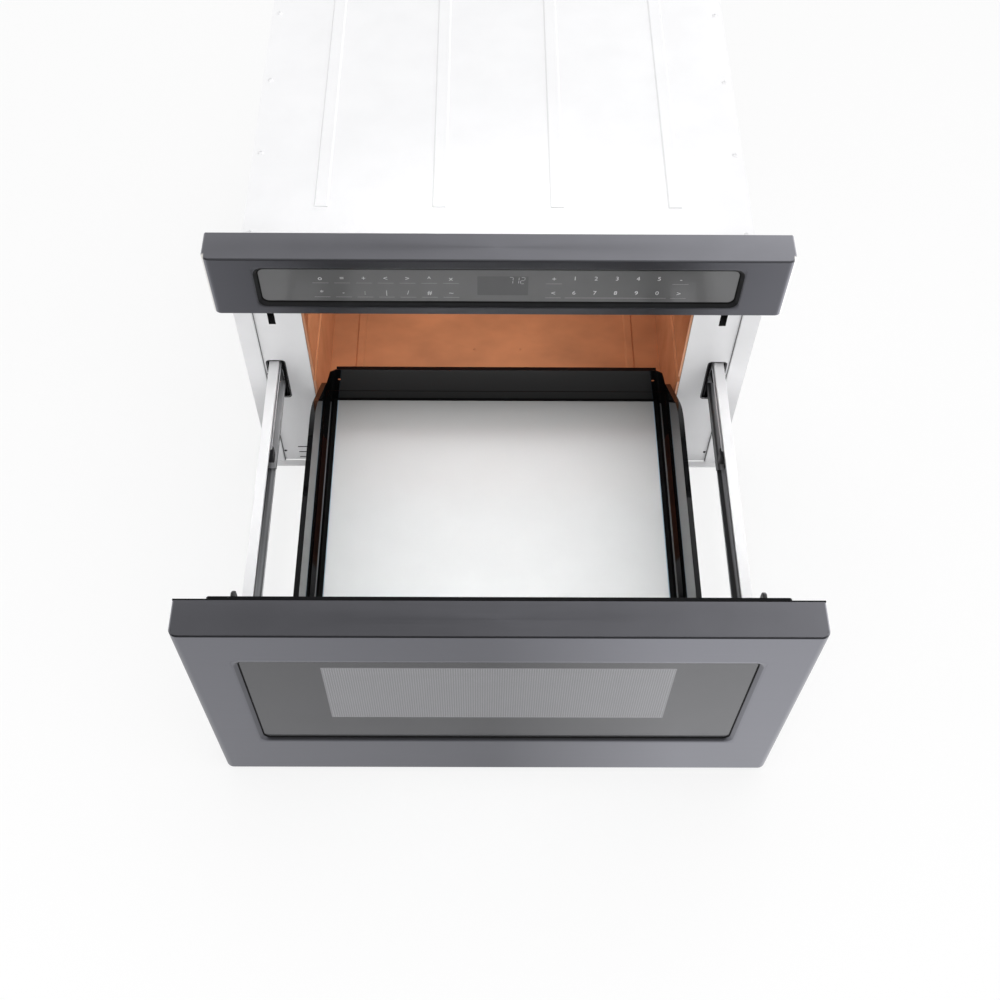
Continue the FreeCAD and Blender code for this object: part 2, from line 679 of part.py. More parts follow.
# ---- oven cavity and microwave parts ----------------------------------------
def cavity_profile(grow):
    """Section of the cavity, with its beads, grown outwards by a wall."""
    h = CAVITY_W / 2 + grow
    z0 = CAVITY_FLOOR - grow
    z1 = CAVITY_TOP + grow
    zb = CAVITY_FLOOR + WALL_BEAD_UP
    b = CAVITY_BEAD_W / 2 + grow
    d = CAVITY_BEAD_D
    fb = CAVITY_W / 2 - FLOOR_BEAD_IN
    fw = CAVITY_BEAD_W / 2 - grow
    right = [(h, z0), (h, zb - b - d), (h + d, zb - b), (h + d, zb + b), (h, zb + b + d), (h, z1)]
    left = [(-x, z) for x, z in right[::-1]]
    floor = []
    for c in (-fb, fb):
        floor += [(c - fw - d, z0), (c - fw, z0 + d), (c + fw, z0 + d), (c + fw + d, z0)]
    return left + floor + right


def oven_cavity():
    """Drawn oven liner: open at the front, beaded sides and floor, flange behind the plate."""
    y0 = Y_BODY
    y1 = CAVITY_REAR
    shell = prism_y(cavity_profile(SHEET), y0, y1 + SHEET)
    h = CAVITY_W / 2 + CAVITY_LIP
    z0 = CAVITY_FLOOR - FLOOR_LIP
    z1 = CAVITY_TOP + CAVITY_LIP
    flange = box(-h, h, y0, y0 + SHEET, z0, z1)
    body = fused(shell, flange).cut(prism_y(cavity_profile(0), y0 - 1, y1))
    half_w = CUP_W / 2 - CUP_RIM
    half_d = CUP_D / 2 - CUP_RIM
    port = box(-half_w, half_w, -half_d, half_d, CAVITY_TOP - 1, CAVITY_TOP + 2)
    z = CAVITY_TOP - LAMP_DOWN
    lamp = box(CAVITY_W / 2 - 1, CAVITY_W / 2 + 2, LAMP_Y - LAMP_W / 2, LAMP_Y + LAMP_W / 2,
               z - LAMP_H / 2, z + LAMP_H / 2)
    return body.cut([port, lamp]).Solids[0]


def oven_lamp():
    """Lamp housing on the cavity's right wall, with its lens in the wall."""
    x0 = CAVITY_W / 2 + SHEET
    z = CAVITY_TOP - LAMP_DOWN
    housing = box(x0, x0 + LAMP_BOX_T, LAMP_Y - LAMP_BOX_W / 2, LAMP_Y + LAMP_BOX_W / 2,
                  z - LAMP_BOX_H / 2, z + LAMP_BOX_H / 2)
    w = LAMP_W / 2 - SLIDE_CLEAR
    h = LAMP_H / 2 - SLIDE_CLEAR
    lens = box(x0 - SHEET, x0, LAMP_Y - w, LAMP_Y + w, z - h, z + h)
    return [housing, lens]


def stirrer_cover():
    """Plate under the ceiling that keeps the stirrer clean."""
    half_w = CUP_W / 2
    half_d = CUP_D / 2
    z = CAVITY_TOP - COVER_T
    plate = box(-half_w, half_w, -half_d, half_d, z, CAVITY_TOP)
    ribs = []
    for i in range(COVER_RIBS):
        y = COVER_RIB_PITCH * (i - (COVER_RIBS - 1) / 2)
        ribs.append(box(CUP_RIM - half_w, half_w - CUP_RIM, y - COVER_RIB_W / 2, y + COVER_RIB_W / 2,
                        z - COVER_RIB, z))
    return fused(plate, *ribs)


def waveguide():
    """Duct on the ceiling that leads from the magnetron to the stirrer's cup."""
    z0 = CAVITY_TOP + SHEET
    z1 = z0 + GUIDE_H
    t = SHEET
    cup = box(-CUP_W / 2, CUP_W / 2, -CUP_D / 2, CUP_D / 2, z0, z1)
    duct = box(-GUIDE_W / 2, GUIDE_W / 2, CUP_D / 2, GUIDE_END_Y, z0, z1)
    inner_cup = box(-CUP_W / 2 + t, CUP_W / 2 - t, -CUP_D / 2 + t, CUP_D / 2 - t, z0 - 1, z1 - t)
    inner_duct = box(-GUIDE_W / 2 + t, GUIDE_W / 2 - t, CUP_D / 2 - 2 * t, GUIDE_END_Y - t, z0 + t, z1 - t)
    body = fused(cup, duct).cut([inner_cup, inner_duct])
    antenna = bar(ANTENNA_R + ANTENNA_GAP, V(0, MAGNETRON_Y, z0 - 1), V(0, 0, 1), 3 * t)
    shaft = bar(STIRRER_SHAFT_R + t, V(0, 0, z1 - 2 * t), V(0, 0, 1), 3 * t)
    return body.cut([antenna, shaft]).Solids[0]


def magnetron():
    """Magnetron: yoke, cooling fins, filter box and antenna."""
    y = MAGNETRON_Y
    z1 = CAVITY_TOP + SHEET
    z0 = z1 - MAGNETRON_H
    low = z0 + FILTER_H
    t = YOKE_T
    w = MAGNETRON_W / 2
    d = MAGNETRON_D / 2
    k = YOKE_HALF_D
    top = box(-w, w, y - d, y + d, z1 - t, z1)
    sides = [box(x, x + t, y - k, y + k, low + t, z1 - t) for x in (-w, w - t)]
    floor = box(-w, w, y - k, y + k, low, low + t)
    anode = bar(ANODE_R, V(0, y, low + t), V(0, 0, 1), MAGNETRON_H - FILTER_H - 2 * t)
    fins = []
    for i in range(FIN_COUNT):
        z = low + t + FIN_PITCH * (i + 1)
        fins.append(box(t - w, w - t, y + t - k, y + k - t, z, z + FIN_T))
    filter_box = box(-FILTER_HALF_W, FILTER_HALF_W, y - FILTER_HALF_D, y + FILTER_HALF_D, z0, low)
    antenna = bar(ANTENNA_R, V(0, y, z1), V(0, 0, 1), ANTENNA_H)
    return fused(top, floor, anode, filter_box, antenna, *(sides + fins))


def stirrer():
    """Turning blade in the waveguide's cup."""
    z = CAVITY_TOP + SHEET + STIRRER_UP
    length = GUIDE_H
    hub = bar(STIRRER_HUB_R, V(0, 0, z), V(0, 0, 1), STIRRER_HUB_H)
    shaft = cylinder(STIRRER_SHAFT_R, V(0, 0, z), V(0, 0, 1), length)
    blades = []
    for i in range(4):
        low = z + BLADE_T
        high = low + BLADE_RISE * (i % 2)
        root = STIRRER_HUB_R / 2
        blade = prism_y([(root, low), (STIRRER_R, high), (STIRRER_R, high + BLADE_T), (root, low + BLADE_T)],
                        -BLADE_HALF, BLADE_HALF)
        blade.rotate(V(0, 0, 0), V(0, 0, 1), 90 * i)
        blades.append(blade)
    return fused(hub, shaft, *blades)


def stirrer_motor():
    """Flat motor on the waveguide's cup."""
    z0 = CAVITY_TOP + SHEET + GUIDE_H
    can = bar(STIRRER_MOTOR_R, V(0, 0, z0), V(0, 0, 1), STIRRER_MOTOR_H)
    ears = box(-EAR_REACH, EAR_REACH, -EAR_HALF, EAR_HALF, z0, z0 + EAR_T)
    bore = cylinder(STIRRER_SHAFT_R + RUNNING, V(0, 0, z0 - 1), V(0, 0, 1), STIRRER_UP + 1 + SLIDE_CLEAR)
    return fused(can, ears).cut(bore).Solids[0]


def transformer():
    """Laminated core, and the two windings round its middle leg."""
    x0 = -CASE_W / 2 + TRANSFORMER_LEFT
    y0 = Y_REAR - SHEET - TRANSFORMER_REAR - TRANSFORMER_D
    w = TRANSFORMER_W
    leg = CORE_LEG
    core = box(x0, x0 + w, y0, y0 + TRANSFORMER_D, SHEET, SHEET + TRANSFORMER_H)
    z0 = SHEET + leg
    z1 = SHEET + TRANSFORMER_H - leg
    openings = []
    for x in (x0 + leg, x0 + w - 2 * leg):
        openings.append(box(x, x + leg, y0 - 1, y0 + TRANSFORMER_D + 1, z0, z1))
    core = core.cut(openings).Solids[0]
    coil = box(x0 + leg + SLIDE_CLEAR, x0 + w - leg - SLIDE_CLEAR, y0 - COIL_BULGE,
               y0 + TRANSFORMER_D + COIL_BULGE, z0 + SLIDE_CLEAR, z1 - SLIDE_CLEAR)
    coil = coil.makeChamfer(COIL_CUT, [e for e in coil.Edges if abs(e.tangentAt(e.FirstParameter).z) > 0.9])
    middle = box(x0 + 2 * leg, x0 + w - 2 * leg, y0, y0 + TRANSFORMER_D, z0 - 1, z1 + 1)
    coil = coil.cut(middle)
    split = (z0 + z1) / 2
    gap = box(x0, x0 + w, y0 - leg, y0 + TRANSFORMER_D + leg, split - COIL_SPLIT / 2, split + COIL_SPLIT / 2)
    return core, coil.cut(gap).Solids


def capacitor():
    """Oval capacitor can with two terminals."""
    x1 = CASE_W / 2 - CAPACITOR_RIGHT
    x0 = x1 - CAPACITOR_L
    y = Y_REAR - CAPACITOR_REAR
    r = CAPACITOR_R
    top = SHEET + CAPACITOR_H
    ends = [bar(r, V(x, y, SHEET), V(0, 0, 1), CAPACITOR_H) for x in (x0 + r, x1 - r)]
    middle = box(x0 + r, x1 - r, y - r, y + r, SHEET, top)
    pins = [box(x - TERMINAL_T * 3, x + TERMINAL_T * 3, y - TERMINAL_T / 2, y + TERMINAL_T / 2,
                top, top + TERMINAL_H) for x in (x0 + 2 * r, x1 - 2 * r)]
    return fused(middle, *(ends + pins))


def fan_shroud():
    """Square fan frame on the rear wall, with three struts to the motor seat."""
    y1 = Y_REAR - SHEET
    y0 = y1 - FAN_FRAME_T
    half = FAN_FRAME / 2
    t = FAN_SEAT_T
    frame = box(FAN_X - half, FAN_X + half, y0, y1, FAN_UP - half, FAN_UP + half)
    frame = frame.cut(bar(FAN_R + FAN_TIP_GAP, V(FAN_X, y0 - 1, FAN_UP), V(0, 1, 0), FAN_FRAME_T + 2, RING_SIDES))
    seat = bar(FAN_MOTOR_R + FAN_TIP_GAP, V(FAN_X, y0, FAN_UP), V(0, 1, 0), t)
    struts = []
    for i in range(3):
        strut = box(FAN_X, FAN_X + FAN_R + t, y0, y0 + t, FAN_UP - t, FAN_UP + t)
        strut.rotate(V(FAN_X, 0, FAN_UP), V(0, 1, 0), 30 + 120 * i)
        struts.append(strut)
    shroud = fused(frame, seat, *struts)
    shaft = bar(FAN_SHAFT_R + SHEET, V(FAN_X, y0 - 1, FAN_UP), V(0, 1, 0), t + 2)
    return shroud.cut(shaft).Solids[0]


def fan_motor():
    """Motor in front of the fan frame's seat."""
    y1 = Y_REAR - SHEET - FAN_FRAME_T
    can = bar(FAN_MOTOR_R, V(FAN_X, y1 - FAN_MOTOR_L, FAN_UP), V(0, 1, 0), FAN_MOTOR_L)
    bore = cylinder(FAN_SHAFT_R + RUNNING, V(FAN_X, y1 - FAN_SHAFT_L, FAN_UP), V(0, 1, 0), FAN_SHAFT_L + 1)
    return can.cut(bore).Solids[0]


def fan_rotor():
    """Hub, shaft and pitched blades."""
    y0 = Y_REAR - SHEET - FAN_FRAME_T + FAN_SEAT_T + FAN_TIP_GAP
    hub = bar(FAN_HUB_R, V(FAN_X, y0, FAN_UP), V(0, 1, 0), FAN_HUB_L)
    shaft = cylinder(FAN_SHAFT_R, V(FAN_X, y0 - FAN_SHAFT_L, FAN_UP), V(0, 1, 0), FAN_SHAFT_L)
    middle = y0 + FAN_HUB_L / 2
    blades = []
    for i in range(FAN_BLADES):
        blade = box(FAN_X + FAN_HUB_R - 3, FAN_X + FAN_R - FAN_TIP_GAP, middle - FAN_BLADE_T / 2,
                    middle + FAN_BLADE_T / 2, FAN_UP - FAN_BLADE_W / 2, FAN_UP + FAN_BLADE_W / 2)
        blade.rotate(V(FAN_X, middle, FAN_UP), V(1, 0, 0), FAN_BLADE_TILT)
        blade.rotate(V(FAN_X, 0, FAN_UP), V(0, 1, 0), 360 / FAN_BLADES * i)
        blades.append(blade)
    return fused(hub, shaft, *blades)


def power_board():
    """Power board on posts over the ceiling, with its relays and filter coil."""
    z0 = CAVITY_TOP + SHEET
    x0 = -CASE_W / 2 + BOARD_LEFT
    x1 = x0 + BOARD_W
    y0 = BOARD_Y
    y1 = BOARD_Y + BOARD_L
    face = z0 + POST_H + BOARD_T
    k = POST_W / 2
    board = box(x0, x1, y0, y1, z0 + POST_H, face)
    posts = [box(x - k, x + k, y - k, y + k, z0, z0 + POST_H)
             for x in (x0 + POST_W, x1 - POST_W) for y in (y0 + POST_W, y1 - POST_W)]
    relays = []
    for i in range(RELAY_COUNT):
        x = x0 + POST_W + RELAY_PITCH * i
        relays.append(box(x, x + RELAY_W, y0 + 2 * POST_W, y0 + 2 * POST_W + RELAY_D, face, face + RELAY_H))
    coil = bar(CHOKE_R, V(x0 + 2 * CHOKE_R, y1 - 2 * CHOKE_R, face), V(0, 0, 1), CHOKE_H)
    sink = box(x1 - POST_W - SINK_W, x1 - POST_W, y1 - CHOKE_R - SINK_L, y1 - CHOKE_R, face, face + SINK_H)
    return fused(board, coil, sink, *(posts + relays))


# ---- control bezel ----------------------------------------------------------
def recess_limits(kind):
    """Lower and upper edge of the recess in the bezel or the drawer front."""
    if kind == "bezel":
        return Z_BEZEL + BEZEL_RECESS_MARGIN, Z_TOP - BEZEL_RECESS_MARGIN
    return Z_DRAWER + DRAWER_RECESS_LOW, Z_DRAWER_TOP - DRAWER_RECESS_TOP


def front_shell(kind, z0, z1, depth, y):
    """Folded metal front: round side edges, bevelled top and bottom, open back and recess opening."""
    half = FRONT_W / 2
    block = folded_block(half, z0, z1, FOLD_R, y, y + depth)
    rim = [e for e in block.Edges if e.BoundBox.ZLength < EDGE_C and e.BoundBox.YMin < y + depth - EDGE_C]
    block = block.makeChamfer(EDGE_C, rim)
    t = SKIN_T
    hollow = folded_block(half - t, z0 + t, z1 - t, FOLD_R - t, y + t, y + depth + 1)
    low, high = recess_limits(kind)
    opening = rounded_slab(-RECESS_W / 2, RECESS_W / 2, low, high, RECESS_R, y - 1, y + t + 1)
    return block.cut([hollow, opening]).Solids[0]


def bevel_frame(kind, y):
    """Black bevelled frame between the front's skin and its glass."""
    low, high = recess_limits(kind)
    half = RECESS_W / 2
    proud = BEVEL_SINK
    lip = rounded_slab(-half, half, low, high, RECESS_R, y + proud, y + SKIN_T)
    seat = BEVEL_SEAT
    back = box(-half - seat, half + seat, y + SKIN_T, y + BEVEL_D, low - seat, high + seat)
    rim = BEVEL_RIM
    hole = funnel(half - rim, low + rim, high - rim, BEVEL_W - rim, y + proud, y + BEVEL_D)
    return fused(lip, back).cut(hole).Solids[0]


def panel_glass(kind, y, thickness):
    """Glass behind the bevel frame."""
    low, high = recess_limits(kind)
    half = RECESS_W / 2 + BEVEL_SEAT
    seat = BEVEL_SEAT
    return box(-half, half, y + BEVEL_D, y + BEVEL_D + thickness, low - seat, high + seat)


def control_housing():
    """Moulded housing behind the control glass, screwed to the mounting flange."""
    low, high = recess_limits("bezel")
    y0 = Y_FACE + BEVEL_D + GLASS_T
    margin = HOUSING_MARGIN
    wall = HOUSING_WALL
    nose_y = y0 + HOUSING_NOSE
    z0 = Z_BEZEL + SKIN_T + margin
    z1 = Z_TOP - SKIN_T - margin
    half = FRONT_W / 2 - SKIN_T - HOUSING_SIDE
    body = box(-half, half, nose_y, Y_FLANGE, z0, z1)
    nose = box(-RECESS_W / 2, RECESS_W / 2, y0, nose_y, low, high)
    pocket = box(wall - half, half - wall, nose_y + 2 * wall, Y_FLANGE + 1, z0 + wall, CASE_H - wall)
    return fused(body, nose).cut(pocket).Solids[0]


# ---- drawer front -----------------------------------------------------------
def aperture(y0, y1, grow):
    """Window opening of inner door and liner, grown by a margin."""
    low, high = recess_limits("drawer")
    half = RECESS_W / 2 - WINDOW_SIDE + grow
    return box(-half, half, y0, y1, low + WINDOW_LOW - grow, high - WINDOW_TOP + grow)


def inner_door():
    """Pressed inner door: a pan whose floor holds the window screen."""
    y1 = Y_OPEN + SKIN_D
    y0 = y1 - INNER_DOOR_D
    half = FRONT_W / 2 - SKIN_T
    z0 = Z_DRAWER + SKIN_T
    z1 = Z_DRAWER_TOP - SKIN_T
    t = INNER_DOOR_T
    body = cut_slab(-half, half, z0, z1, DOOR_CUT, y0, y1)
    hollow = cut_slab(-half + t, half - t, z0 + t, z1 - t, DOOR_CUT, y0 - 1, y1 - t)
    return body.cut([hollow, aperture(y1 - t - 1, y1 + 1, 0)]).Solids[0]


def window_screen():
    """Sheet behind the window, seated on the inner door; its fine holes are left plain here."""
    y1 = Y_OPEN + SKIN_D - INNER_DOOR_T
    return aperture(y1 - SCREEN_T, y1, SCREEN_GRIP)


def door_liner():
    """Black liner over the door's back, raised where it faces the front plate."""
    y0 = Y_OPEN + SKIN_D
    half = FRONT_W / 2
    rim = box(-half, half, y0, y0 + LINER_T, Z_DRAWER, Z_DRAWER_TOP)
    z0 = Z_DRAWER + PANEL_MARGIN
    z1 = Z_DRAWER_TOP - PANEL_MARGIN
    half_panel = INNER_X - SEAM
    panel = cut_slab(-half_panel, half_panel, z0, z1, PANEL_CUT, y0 + LINER_T, Y_LINER)
    body = fused(rim, panel).cut(aperture(y0 - 1, Y_LINER + 1, 0))
    return body.Solids[0]


def inner_window():
    """Clear pane in the liner's opening, on the inner door."""
    y0 = Y_OPEN + SKIN_D
    return aperture(y0, y0 + INNER_GLASS_T, -SLIDE_CLEAR)


# ---- tray -------------------------------------------------------------------
def tray_pan():
    """Drawn pan: floor, ledge for the glass and stepped sides, closed at both ends."""
    ledge_x = TRAY_GLASS_W / 2 - LEDGE_W
    seat_x = TRAY_GLASS_W / 2 + GASKET_W
    half = [(ledge_x, PAN_FLOOR), (ledge_x, GLASS_UNDER), (seat_x, GLASS_UNDER),
            (seat_x, GLASS_UNDER + STEP_RISE), (seat_x + STEP_LEAN, TRAY_STEP_Z - STEP_EDGE),
            (TRAY_WALL_X, TRAY_STEP_Z)]
    inner = [(-x, z) for x, z in half[::-1]] + half
    t = TRAY_T
    outline = mitred(inner[::-1], t)
    y0 = Y_LINER
    y1 = TRAY_REAR
    sheet = prism_y(outline, y0, y1)
    outer = outline[len(inner):]
    end = prism_y(outer, y1, y1 + t)
    front = prism_y(outer, y0, y0 + t)
    return fused(sheet, end, front)


def tray_glass():
    """Glass oven floor that lies on the pan's ledge."""
    half = TRAY_GLASS_W / 2
    plate = box(-half, half, tray_glass_front(), TRAY_REAR - GASKET_REAR, GLASS_UNDER, TRAY_GLASS_TOP)
    top = [e for e in plate.Edges if e.BoundBox.ZMin > TRAY_GLASS_TOP - 0.01]
    return plate.makeChamfer(GLASS_EDGE, top)


def tray_glass_front():
    """Front edge of the glass floor."""
    return Y_LINER + TRAY_T + GASKET_W


def glass_gasket():
    """Black seal round the glass floor."""
    half = TRAY_GLASS_W / 2
    z1 = TRAY_GLASS_TOP + GASKET_RISE
    outer = box(-half - GASKET_W, half + GASKET_W, Y_LINER + TRAY_T, TRAY_REAR, GLASS_UNDER, z1)
    inner = box(-half, half, tray_glass_front(), TRAY_REAR - GASKET_REAR, GLASS_UNDER - 1, z1 + 1)
    ring = outer.cut(inner)
    return ring.Solids[0]


def rim_outline(drop):
    """Outline of a side wall in (y, z); its top edge curves down to the rear."""
    y0 = Y_LINER
    y1 = TRAY_REAR
    top = RIM_Z - drop
    slope = math.radians(RIM_SLOPE)
    r = RIM_BEND_R
    fall = RIM_Z - BACK_CORNER_Z
    run = r * math.sin(slope) + (fall - r * (1 - math.cos(slope))) / math.tan(slope)
    start = V(0, y1 - run, top)
    middle = V(0, y1 - run + r * math.sin(slope / 2), top - r * (1 - math.cos(slope / 2)))
    end = V(0, y1 - run + r * math.sin(slope), top - r * (1 - math.cos(slope)))
    corner = V(0, y1, top - fall)
    low_rear = V(0, y1, TRAY_STEP_Z)
    low_front = V(0, y0, TRAY_STEP_Z)
    high_front = V(0, y0, top)
    chain = [end, corner, low_rear, low_front, high_front, start]
    edges = [Part.Arc(start, middle, end).toShape()]
    edges += [Part.LineSegment(a, b).toShape() for a, b in zip(chain, chain[1:])]
    return Part.Face(Part.Wire(edges))


def tray_side():
    """Left upper wall with its turned rim."""
    plate = rim_outline(0).extrude(V(TRAY_T, 0, 0))
    plate.translate(V(-TRAY_WALL_X - TRAY_T, 0, 0))
    strip = rim_outline(0).extrude(V(RIM_W, 0, 0))
    strip = strip.cut(rim_outline(RIM_T).extrude(V(RIM_W, 0, 0)))
    strip.translate(V(-TRAY_WALL_X + 1 - RIM_W, 0, 0))
    return fused(plate, strip)


def tray_back():
    """Upper rear wall with stepped corners and two holes."""
    x = TRAY_WALL_X + TRAY_T
    c = BACK_CORNER_CUT
    half = [(x, TRAY_STEP_Z), (x, BACK_CORNER_Z - c), (x - c / 2, BACK_CORNER_Z),
            (x - BACK_CORNER_W / 2, BACK_WALL_Z - c), (x - BACK_CORNER_W, BACK_WALL_Z)]
    outline = half + [(-px, pz) for px, pz in half[::-1]]
    y0 = TRAY_REAR
    wall = prism_y(outline, y0, y0 + TRAY_T)
    hx = TRAY_WALL_X - TRAY_HOLE_IN
    hole = bar(TRAY_HOLE_R, V(hx, y0 - 1, TRAY_GLASS_TOP + TRAY_HOLE_UP), V(0, 1, 0), TRAY_T + 2)
    holes = both_sides(hole)
    lip_x = x - BACK_CORNER_W
    lip = box(-lip_x, lip_x, y0 + TRAY_T, y0 + TRAY_T + BACK_LIP, BACK_WALL_Z - TRAY_T, BACK_WALL_Z)
    return fused(wall.cut(holes).Solids[0], lip)


# ---- arms and slides --------------------------------------------------------
def arm():
    """Left side arm: a channel that carries the drawer, open towards the oven."""
    x0 = -ARM_X
    low = RAIL_TOP - RAIL_H - ARM_T
    y0 = Y_LINER
    y1 = y0 + ARM_L
    web = box(x0, x0 + ARM_T, y0, y1, low, ARM_TOP)
    top = box(x0, x0 + ARM_FLANGE, y0, y1, RAIL_TOP, ARM_TOP)
    bottom = box(x0, x0 + ARM_LOWER, y0, y1, low, low + ARM_T)
    foot = box(x0, x0 + ARM_FLANGE + ARM_FOOT, y0, y0 + ARM_T, ARM_TOP - ARM_FOOT_H, ARM_TOP)
    return fused(web, top, bottom, foot)


def ball_levels():
    """Heights above the slide's middle of both ball rows and of the middle member's flange."""
    outer_ball = RAIL_H / 2 - RAIL_T - RACE_GAP - BALL_R
    middle_top = outer_ball - BALL_R - RACE_GAP
    inner_ball = middle_top - RAIL_T - RACE_GAP - BALL_R
    inner_top = inner_ball - BALL_R - RACE_GAP
    return outer_ball, middle_top, inner_ball, inner_top


def rail_solid(half, y0, length):
    """Left slide member from the upper half of its section, skin side on the left, in (w, v)."""
    full = half + [(w, -v) for w, v in half[::-1]]
    outline = mitred(full, RAIL_T)
    placed = [(-RAIL_X + w, RAIL_Z + v) for w, v in outline]
    return prism_y(placed, y0, y0 + length)


def slide_outer():
    """Largest member, riveted to the arm."""
    top = RAIL_H / 2
    b = RAIL_BEND
    half = [(OUTER_REACH, top - 2 * b), (OUTER_REACH - b, top), (b, top), (0.0, top - b)]
    y0 = Y_LINER + RAIL_FRONT
    return rail_solid(half, y0, RAIL_L)


def slide_middle():
    """Middle member, halfway out when the drawer is open."""
    top = ball_levels()[1]
    web = 2 * RAIL_T
    b = RAIL_BEND
    half = [(MIDDLE_REACH, top + b), (MIDDLE_REACH - b, top), (web + b, top), (web, top - b)]
    y0 = Y_PLATE - MIDDLE_OUT
    return rail_solid(half, y0, MIDDLE_L)


def slide_inner():
    """Smallest member, fixed to the bracket in the case."""
    top = ball_levels()[3]
    w1 = SLIDE_T
    b = RAIL_BEND
    half = [(w1 - INNER_REACH, -top - b / 2), (w1 + b - INNER_REACH, -top), (w1 - b, -top), (w1, -top + b)]
    y0 = Y_BODY + INNER_RAIL_IN
    return rail_solid(half, y0, RAIL_L)


def ball_cage(level, w_web, w_ball, y0, length):
    """Left ball cage: a thin channel whose flanges hold two rows of balls, and the balls."""
    t = CAGE_T
    w1 = w_ball + BALL_R + CAGE_LIP
    web = box(w_web, w_web + t, y0, y0 + length, -level - t / 2, level + t / 2)
    top = box(w_web, w1, y0, y0 + length, level - t / 2, level + t / 2)
    low = box(w_web, w1, y0, y0 + length, -level - t / 2, -level + t / 2)
    cage = fused(web, top, low)
    pitch = length / BALLS_PER_ROW
    pockets = []
    balls = []
    for i in range(BALLS_PER_ROW):
        y = y0 + pitch * (i + 0.5)
        for v in (-level, level):
            pockets.append(facetted_disc(w_ball, y, v - t, v + t, BALL_R + POCKET_GAP))
            balls.append(facetted_ball(w_ball, y, v))
    cage = cage.cut(pockets).Solids[0]
    shift = V(-RAIL_X, 0, RAIL_Z)
    cage.translate(shift)
    for ball in balls:
        ball.translate(shift)
    return cage, balls


def ring_wire(x, y, z, radius):
    """A regular polygon round a vertical axis."""
    step = 2 * math.pi / BALL_SIDES
    points = [V(x + radius * math.cos(step * (i + 0.5)), y + radius * math.sin(step * (i + 0.5)), z)
              for i in range(BALL_SIDES)]
    return Part.makePolygon(points + points[:1])


def facetted_disc(x, y, z0, z1, radius):
    """Ball pocket: a many-sided hole."""
    return Part.Face(ring_wire(x, y, z0, radius)).extrude(V(0, 0, z1 - z0))


def facetted_ball(x, y, z):
    """A ball of few flat faces."""
    rings = []
    for angle in (-66, -24, 24, 66):
        a = math.radians(angle)
        wire = ring_wire(x, y, z + BALL_R * math.sin(a), BALL_R * math.cos(a))
        rings.append([vertex.Point for vertex in wire.Vertexes])
    faces = [Part.Face(Part.makePolygon(rings[0] + rings[0][:1])),
             Part.Face(Part.makePolygon(rings[-1] + rings[-1][:1]))]
    for low, high in zip(rings, rings[1:]):
        for i in range(BALL_SIDES):
            j = (i + 1) % BALL_SIDES
            faces.append(Part.Face(Part.makePolygon([low[i], low[j], high[j], high[i], low[i]])))
    ball = Part.Solid(Part.Shell(faces))
    if ball.Volume < 0:
        ball.reverse()
    return ball


def slide_bracket():
    """Left bracket that stands on the base and carries the fixed member."""
    x0 = -BRACKET_X
    y0 = Y_BODY + SHEET
    y1 = y0 + RAIL_L + BRACKET_PAST
    plate = box(x0, x0 + BRACKET_T, y0, y1, SHEET, ARM_TOP)
    foot = box(x0, x0 + BRACKET_FOOT, y0 + BRACKET_PAST, y1, SHEET, SHEET + BRACKET_T)
    holes = []
    for i in range(OPENING_COUNT):
        y = (y0 + y1) / 2 + OPENING_PITCH * (i - (OPENING_COUNT - 1) / 2)
        holes.append(cut_hole(x0 - 1, y - OPENING_L / 2, y + OPENING_L / 2, OPENING_Z, OPENING_Z + OPENING_H))
    return fused(plate, foot).cut(holes).Solids[0]


def cut_hole(x, y0, y1, z0, z1):
    """A lightening hole with cut corners, through a bracket."""
    c = OPENING_CUT
    outline = [(y0 + c, z0), (y1 - c, z0), (y1, z0 + c), (y1, z1 - c), (y1 - c, z1), (y0 + c, z1),
               (y0, z1 - c), (y0, z0 + c)]
    return prism_x(outline, x, x + BRACKET_T + 2)


# ---- latch ------------------------------------------------------------------
def latch_hook():
    """Left hook on the door's back that closes the safety switches."""
    y0 = Y_LINER
    y1 = y0 + HOOK_L
    z0 = HOOK_Z - HOOK_H / 2
    z1 = HOOK_Z + HOOK_H / 2
    b = HOOK_BEAK
    c = HOOK_CUT
    outline = [(y0, z0), (y1 - b, z0), (y1 - b, z0 + b), (y1 - c, z0 + b - c), (y1, z0 + b), (y1, z1 - c),
               (y1 - c, z1), (y0, z1)]
    return prism_x(outline, -HOOK_X - HOOK_T / 2, -HOOK_X + HOOK_T / 2)


def latch_switch_box():
    """Left switch box behind the front plate, open to the hook."""
    half = LATCH_BOX_W / 2
    z0 = HOOK_Z - LATCH_SLOT_H / 2 - LATCH_WALL
    z1 = HOOK_Z + LATCH_SLOT_H / 2 + LATCH_WALL
    body = box(-HOOK_X - half, -HOOK_X + half, Y_BODY, Y_BODY + LATCH_BOX_D, z0, z1)
    w = LATCH_SLOT_W / 2
    pocket = box(-HOOK_X - w, -HOOK_X + w, Y_BODY - 1, Y_BODY + LATCH_BOX_D - LATCH_WALL,
                 z0 + LATCH_WALL, z1 - LATCH_WALL)
    switches = []
    for i in range(SWITCH_COUNT):
        z = (z0 + z1) / 2 + SWITCH_PITCH * (i - (SWITCH_COUNT - 1) / 2)
        switches.append(box(-HOOK_X + half, -HOOK_X + half + SWITCH_W, Y_BODY + LATCH_WALL,
                            Y_BODY + LATCH_BOX_D - LATCH_WALL, z - SWITCH_H / 2, z + SWITCH_H / 2))
    return fused(body.cut(pocket).Solids[0], *switches)


# ---- rack drive -------------------------------------------------------------
def involute(angle):
    """Involute function of a pressure angle."""
    return math.tan(angle) - angle


